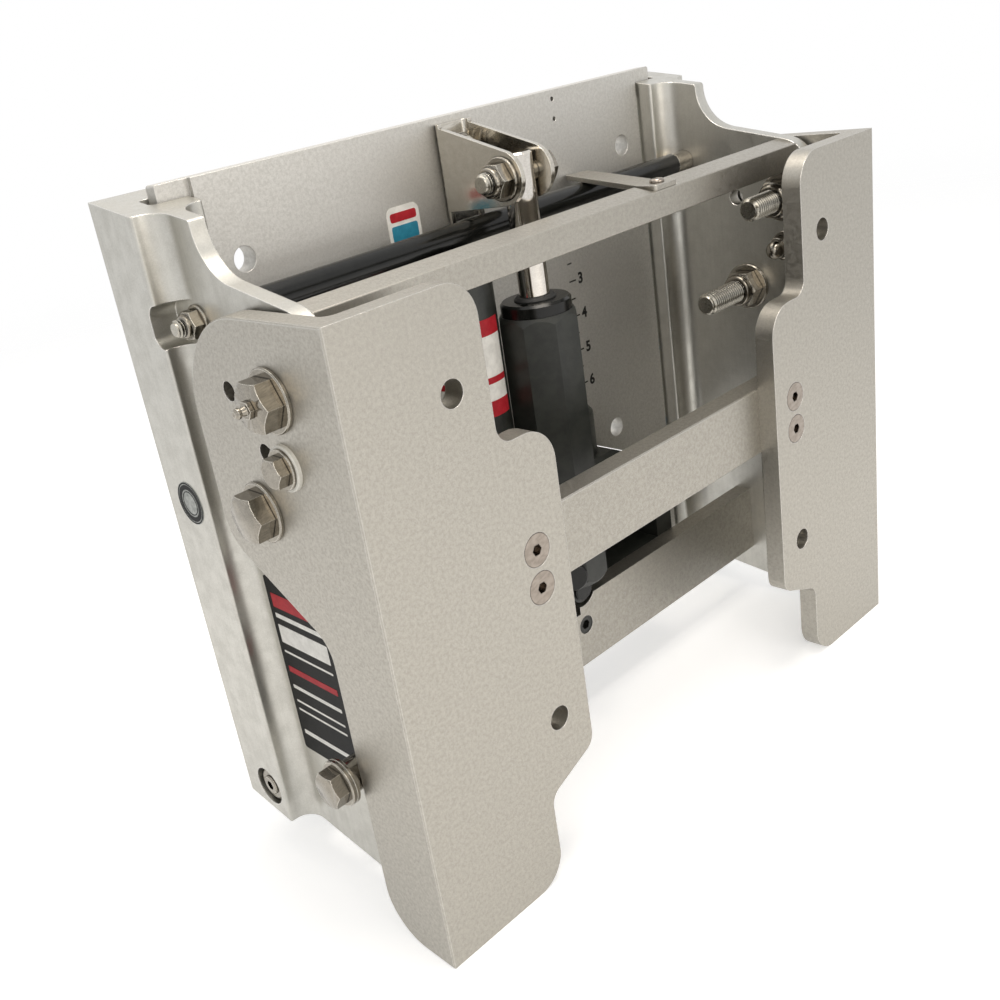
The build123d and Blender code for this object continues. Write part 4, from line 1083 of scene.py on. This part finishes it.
@dataclass
class MotorPlate:
    """The lifting plate with its height scale and a small plain sticker."""

    front: float = 153.7
    tick_left: float = 92.0
    tick_right: float = 99.0
    zero_z: float = 54.6
    inch: float = 25.4
    marks: tuple[int, ...] = (1, 2, 3, 4, 5, 6)
    half_short: float = 2.5
    figure_x: float = 101.4
    figure_height: float = 7.4
    figure_weight: float = 0.4
    capital_share: float = 0.7
    line: float = 1.1
    line_corner: float = 0.15
    print_thickness: float = 0.1
    sticker_x: float = -48.0
    sticker_z: float = 51.6
    sticker_size: tuple[float, float, float, float] = (26.0, 24.0, 5.0, 0.2)
    red_field: tuple[float, float] = (5.6, 5.5)
    teal_field: tuple[float, float] = (-4.2, 9.5)
    field_margin: float = 5.0
    field_corner: float = 1.6

    def stand(self, x: float, z: float, above: float = 0.0) -> Matrix:
        """Where a mark stands on the plate's front face."""
        return placed(Facing.FRONT, x, self.front - above, z)

    def ticks(self) -> None:
        """Inch ticks, and shorter ones at the half inches."""
        width = self.tick_right - self.tick_left
        parts = []
        for number in self.marks:
            for up, short in ((0.0, 0.0), (self.inch / 2, self.half_short)):
                middle = (self.tick_left + self.tick_right - short) / 2
                stand = self.stand(middle, self.zero_z - number * self.inch + up)
                size = (width - short, self.line, self.line_corner, self.print_thickness)
                parts.append(label_slab("tick", *size, stand))
        finished(joined(parts, "scale_ticks"), INK, Body.CARRIAGE)

    def figures(self) -> None:
        """The scale's whole numbers."""
        parts = []
        for number in self.marks:
            bpy.ops.object.select_all(action="DESELECT")
            bpy.ops.object.text_add()
            figure = bpy.context.active_object
            figure.data.body = str(number)
            figure.data.size = self.figure_height / self.capital_share * MM
            figure.data.extrude = self.print_thickness / 2 * MM
            figure.data.offset = self.figure_weight * MM
            figure.data.align_y = "CENTER"
            bpy.ops.object.convert(target="MESH")
            figure = bpy.context.active_object
            above = self.print_thickness / 2
            figure.data.transform(self.stand(self.figure_x, self.zero_z - number * self.inch, above))
            parts.append(figure)
        finished(joined(parts, "scale_figures"), INK, Body.CARRIAGE)

    def sticker(self) -> None:
        """A plain white sticker with a red and a teal field."""
        base = self.stand(self.sticker_x, self.sticker_z)
        ground = label_slab("plate_sticker", *self.sticker_size, base)
        finished(ground, WHITE_VINYL, Body.CARRIAGE)
        width, _, _, thickness = self.sticker_size
        fields = [
            ("plate_sticker_red_field", RED_VINYL, *self.red_field),
            ("plate_sticker_teal_field", TEAL_VINYL, *self.teal_field),
        ]
        for name, finish, up, height in fields:
            place = self.stand(self.sticker_x, self.sticker_z + up, thickness)
            size = (width - self.field_margin, height, self.field_corner, self.print_thickness)
            finished(label_slab(name, *size, place), finish, Body.CARRIAGE)

    def build(self) -> None:
        """Dresses the plate and builds its marks."""
        LIFT_PLATE.dress_nodes("motor_plate")
        self.ticks()
        self.figures()
        self.sticker()


@dataclass
class Clevis:
    """The bent bracket on the plate that holds the top of the rod."""

    eye_y: float = 99.0
    eye_z: float = 70.5
    nut_face: float = 27.2
    tip: float = 32.2
    diameter: float = 12.7
    pitch: float = 1.95
    screw_heights: tuple[float, float] = (90.0, 58.0)
    screw_nut_face: float = 140.1
    screw_tip: float = 135.4
    screw_diameter: float = 9.525
    screw_pitch: float = 1.6

    def build(self) -> None:
        """Builds the threaded bolt and screws, and dresses the rest."""
        SHEET.dress_nodes("clevis_bracket")
        FASTENER.dress_nodes("clevis_base_washers", "clevis_base_nuts", "clevis_washers", "clevis_nut")
        start, tip = (Vector((-x, self.eye_y, self.eye_z)) for x in (self.nut_face, self.tip))
        bolt_end = ThreadedEnd(self.diameter, self.pitch, start, tip)
        ThreadedBolts("clevis_bolt", [bolt_end]).make(Body.CARRIAGE, FASTENER)
        screws = []
        for z in self.screw_heights:
            start, tip = (Vector((0, y, z)) for y in (self.screw_nut_face, self.screw_tip))
            screws.append(ThreadedEnd(self.screw_diameter, self.screw_pitch, start, tip))
        ThreadedBolts("clevis_base_screws", screws).make(Body.CARRIAGE, FASTENER)


@dataclass(frozen=True)
class Lamp:
    """One soft box: where it stands, what it aims at, its side and its power in watts."""

    name: str
    place: tuple[float, float, float]
    side: float
    power: float
    colour: str = "FFF6EA"

    def light(self, aim: Vector) -> None:
        """Hangs the soft box so that it faces a point.

        Args:
            aim: the point, in metres.
        """
        bpy.ops.object.select_all(action="DESELECT")
        bpy.ops.object.light_add(type="AREA", location=self.place)
        lamp = bpy.context.active_object
        lamp.name = self.name
        lamp.data.shape = "SQUARE"
        lamp.data.size = self.side
        lamp.data.energy = self.power
        lamp.data.color = linear(self.colour)[:3]
        lamp.rotation_euler = (aim - lamp.location).to_track_quat("-Z", "Y").to_euler()


@dataclass
class Studio:
    """A pale floor, soft boxes and the camera at the photograph's angle."""

    camera_place: tuple[float, float, float] = (-0.47623, -0.36801, 0.15083)
    camera_turn: tuple[float, float, float] = (67.7310, 9.8391, -41.5440)
    lens: float = 39.0154
    sensor: float = 36.0
    shift: tuple[float, float] = (0.0822, -0.0118)
    clip: tuple[float, float] = (0.01, 50.0)
    floor_radius: float = 3.0
    floor_colour: str = "F1F2F3"
    floor_glow: float = 0.45
    floor_fade: tuple[float, float] = (0.25, 0.9)
    world_light: float = 0.5
    lamps: tuple[Lamp, ...] = (
        Lamp("key_soft_box", (-1.5, -1.2, 1.2), 1.2, 9.0),
        Lamp("front_soft_box", (0.1, -1.6, 0.5), 1.0, 7.0),
        Lamp("rear_soft_box", (0.1, 0.8, 1.6), 1.2, 6.0),
        Lamp("overhead_soft_box", (0.0, -0.05, 0.8), 0.4, 4.0),
    )

    def seen(self, tree: Tree) -> Socket:
        """Tells what is seen from what only lights.

        Args:
            tree: the node tree that asks.

        Returns:
            1 for what is seen straight, mirrored or through something, and 0 for light.
        """
        path = add_node(tree, "ShaderNodeLightPath").outputs
        direct = combined(tree, "MAXIMUM", path["Is Camera Ray"], path["Is Glossy Ray"])
        return combined(tree, "MAXIMUM", direct, path["Is Transmission Ray"])

    def floor(self) -> None:
        """A pale round floor under the brackets, which fades into the background."""
        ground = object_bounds()[0].z
        size = {"vertices": 96, "radius": self.floor_radius, "location": (0, 0, ground)}
        disc_floor = begin("studio_floor", bpy.ops.mesh.primitive_circle_add, fill_type="NGON", **size)
        material = bpy.data.materials.new("pale_studio_floor")
        material.use_nodes = True
        tree = material.node_tree
        tree.nodes.clear()
        matt = add_node(tree, "ShaderNodeBsdfDiffuse", {"Color": linear(self.floor_colour)}).outputs[0]
        glow = add_node(tree, "ShaderNodeEmission", {"Color": (1, 1, 1, 1)})
        strength = ranged(tree, self.seen(tree), 0.0, 1.0, 0.0, self.floor_glow)
        tree.links.new(strength, glow.inputs["Strength"])
        lit = add_node(tree, "ShaderNodeAddShader", {0: matt, 1: glow.outputs[0]}).outputs[0]
        clear = add_node(tree, "ShaderNodeBsdfTransparent").outputs[0]
        place = add_node(tree, "ShaderNodeTexCoord").outputs["Object"]
        reach = add_node(tree, "ShaderNodeVectorMath", {0: place}, operation="LENGTH").outputs["Value"]
        fade = ranged(tree, reach, *(share * self.floor_radius for share in self.floor_fade), 0.0, 1.0)
        mixed = add_node(tree, "ShaderNodeMixShader", {0: fade, 1: lit, 2: clear}).outputs[0]
        add_node(tree, "ShaderNodeOutputMaterial", {"Surface": mixed})
        disc_floor.data.materials.append(material)
        disc_floor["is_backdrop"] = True

    def world(self) -> None:
        """White where it is seen, and softer where it lights."""
        world = bpy.data.worlds.new("white_studio")
        bpy.context.scene.world = world
        world.use_nodes = True
        tree = world.node_tree
        tree.nodes.clear()
        glow = add_node(tree, "ShaderNodeBackground", {"Color": (1, 1, 1, 1)})
        strength = ranged(tree, self.seen(tree), 0.0, 1.0, self.world_light, 1.0)
        tree.links.new(strength, glow.inputs["Strength"])
        add_node(tree, "ShaderNodeOutputWorld", {"Surface": glow.outputs[0]})

    def camera(self) -> None:
        """The camera at the photograph's place and angle."""
        bpy.ops.object.camera_add(location=self.camera_place, rotation=radians(self.camera_turn))
        camera = bpy.context.active_object
        camera.name = "photo_camera"
        camera.data.sensor_width = self.sensor
        camera.data.lens = self.lens
        camera.data.shift_x, camera.data.shift_y = self.shift
        camera.data.clip_start, camera.data.clip_end = self.clip
        bpy.context.scene.camera = camera

    def build(self) -> None:
        """Sets up the floor, the world, the lamps and the camera."""
        bpy.context.scene.view_settings.view_transform = "Standard"
        low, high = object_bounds()
        for lamp in self.lamps:
            lamp.light((low + high) / 2)
        self.floor()
        self.world()
        self.camera()


def main() -> None:
    logging.basicConfig(level=logging.INFO, format="%(message)s")
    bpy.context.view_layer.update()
    kinds = (TransomBrackets, SlideRails, TieBar, SideFasteners, LiftRam, MotorPlate, Clevis)
    for assembly in (kind() for kind in kinds):
        assembly.build()
        LOG.info("%s done", type(assembly).__name__)
    Studio().build()


if __name__ == "__main__":
    main()
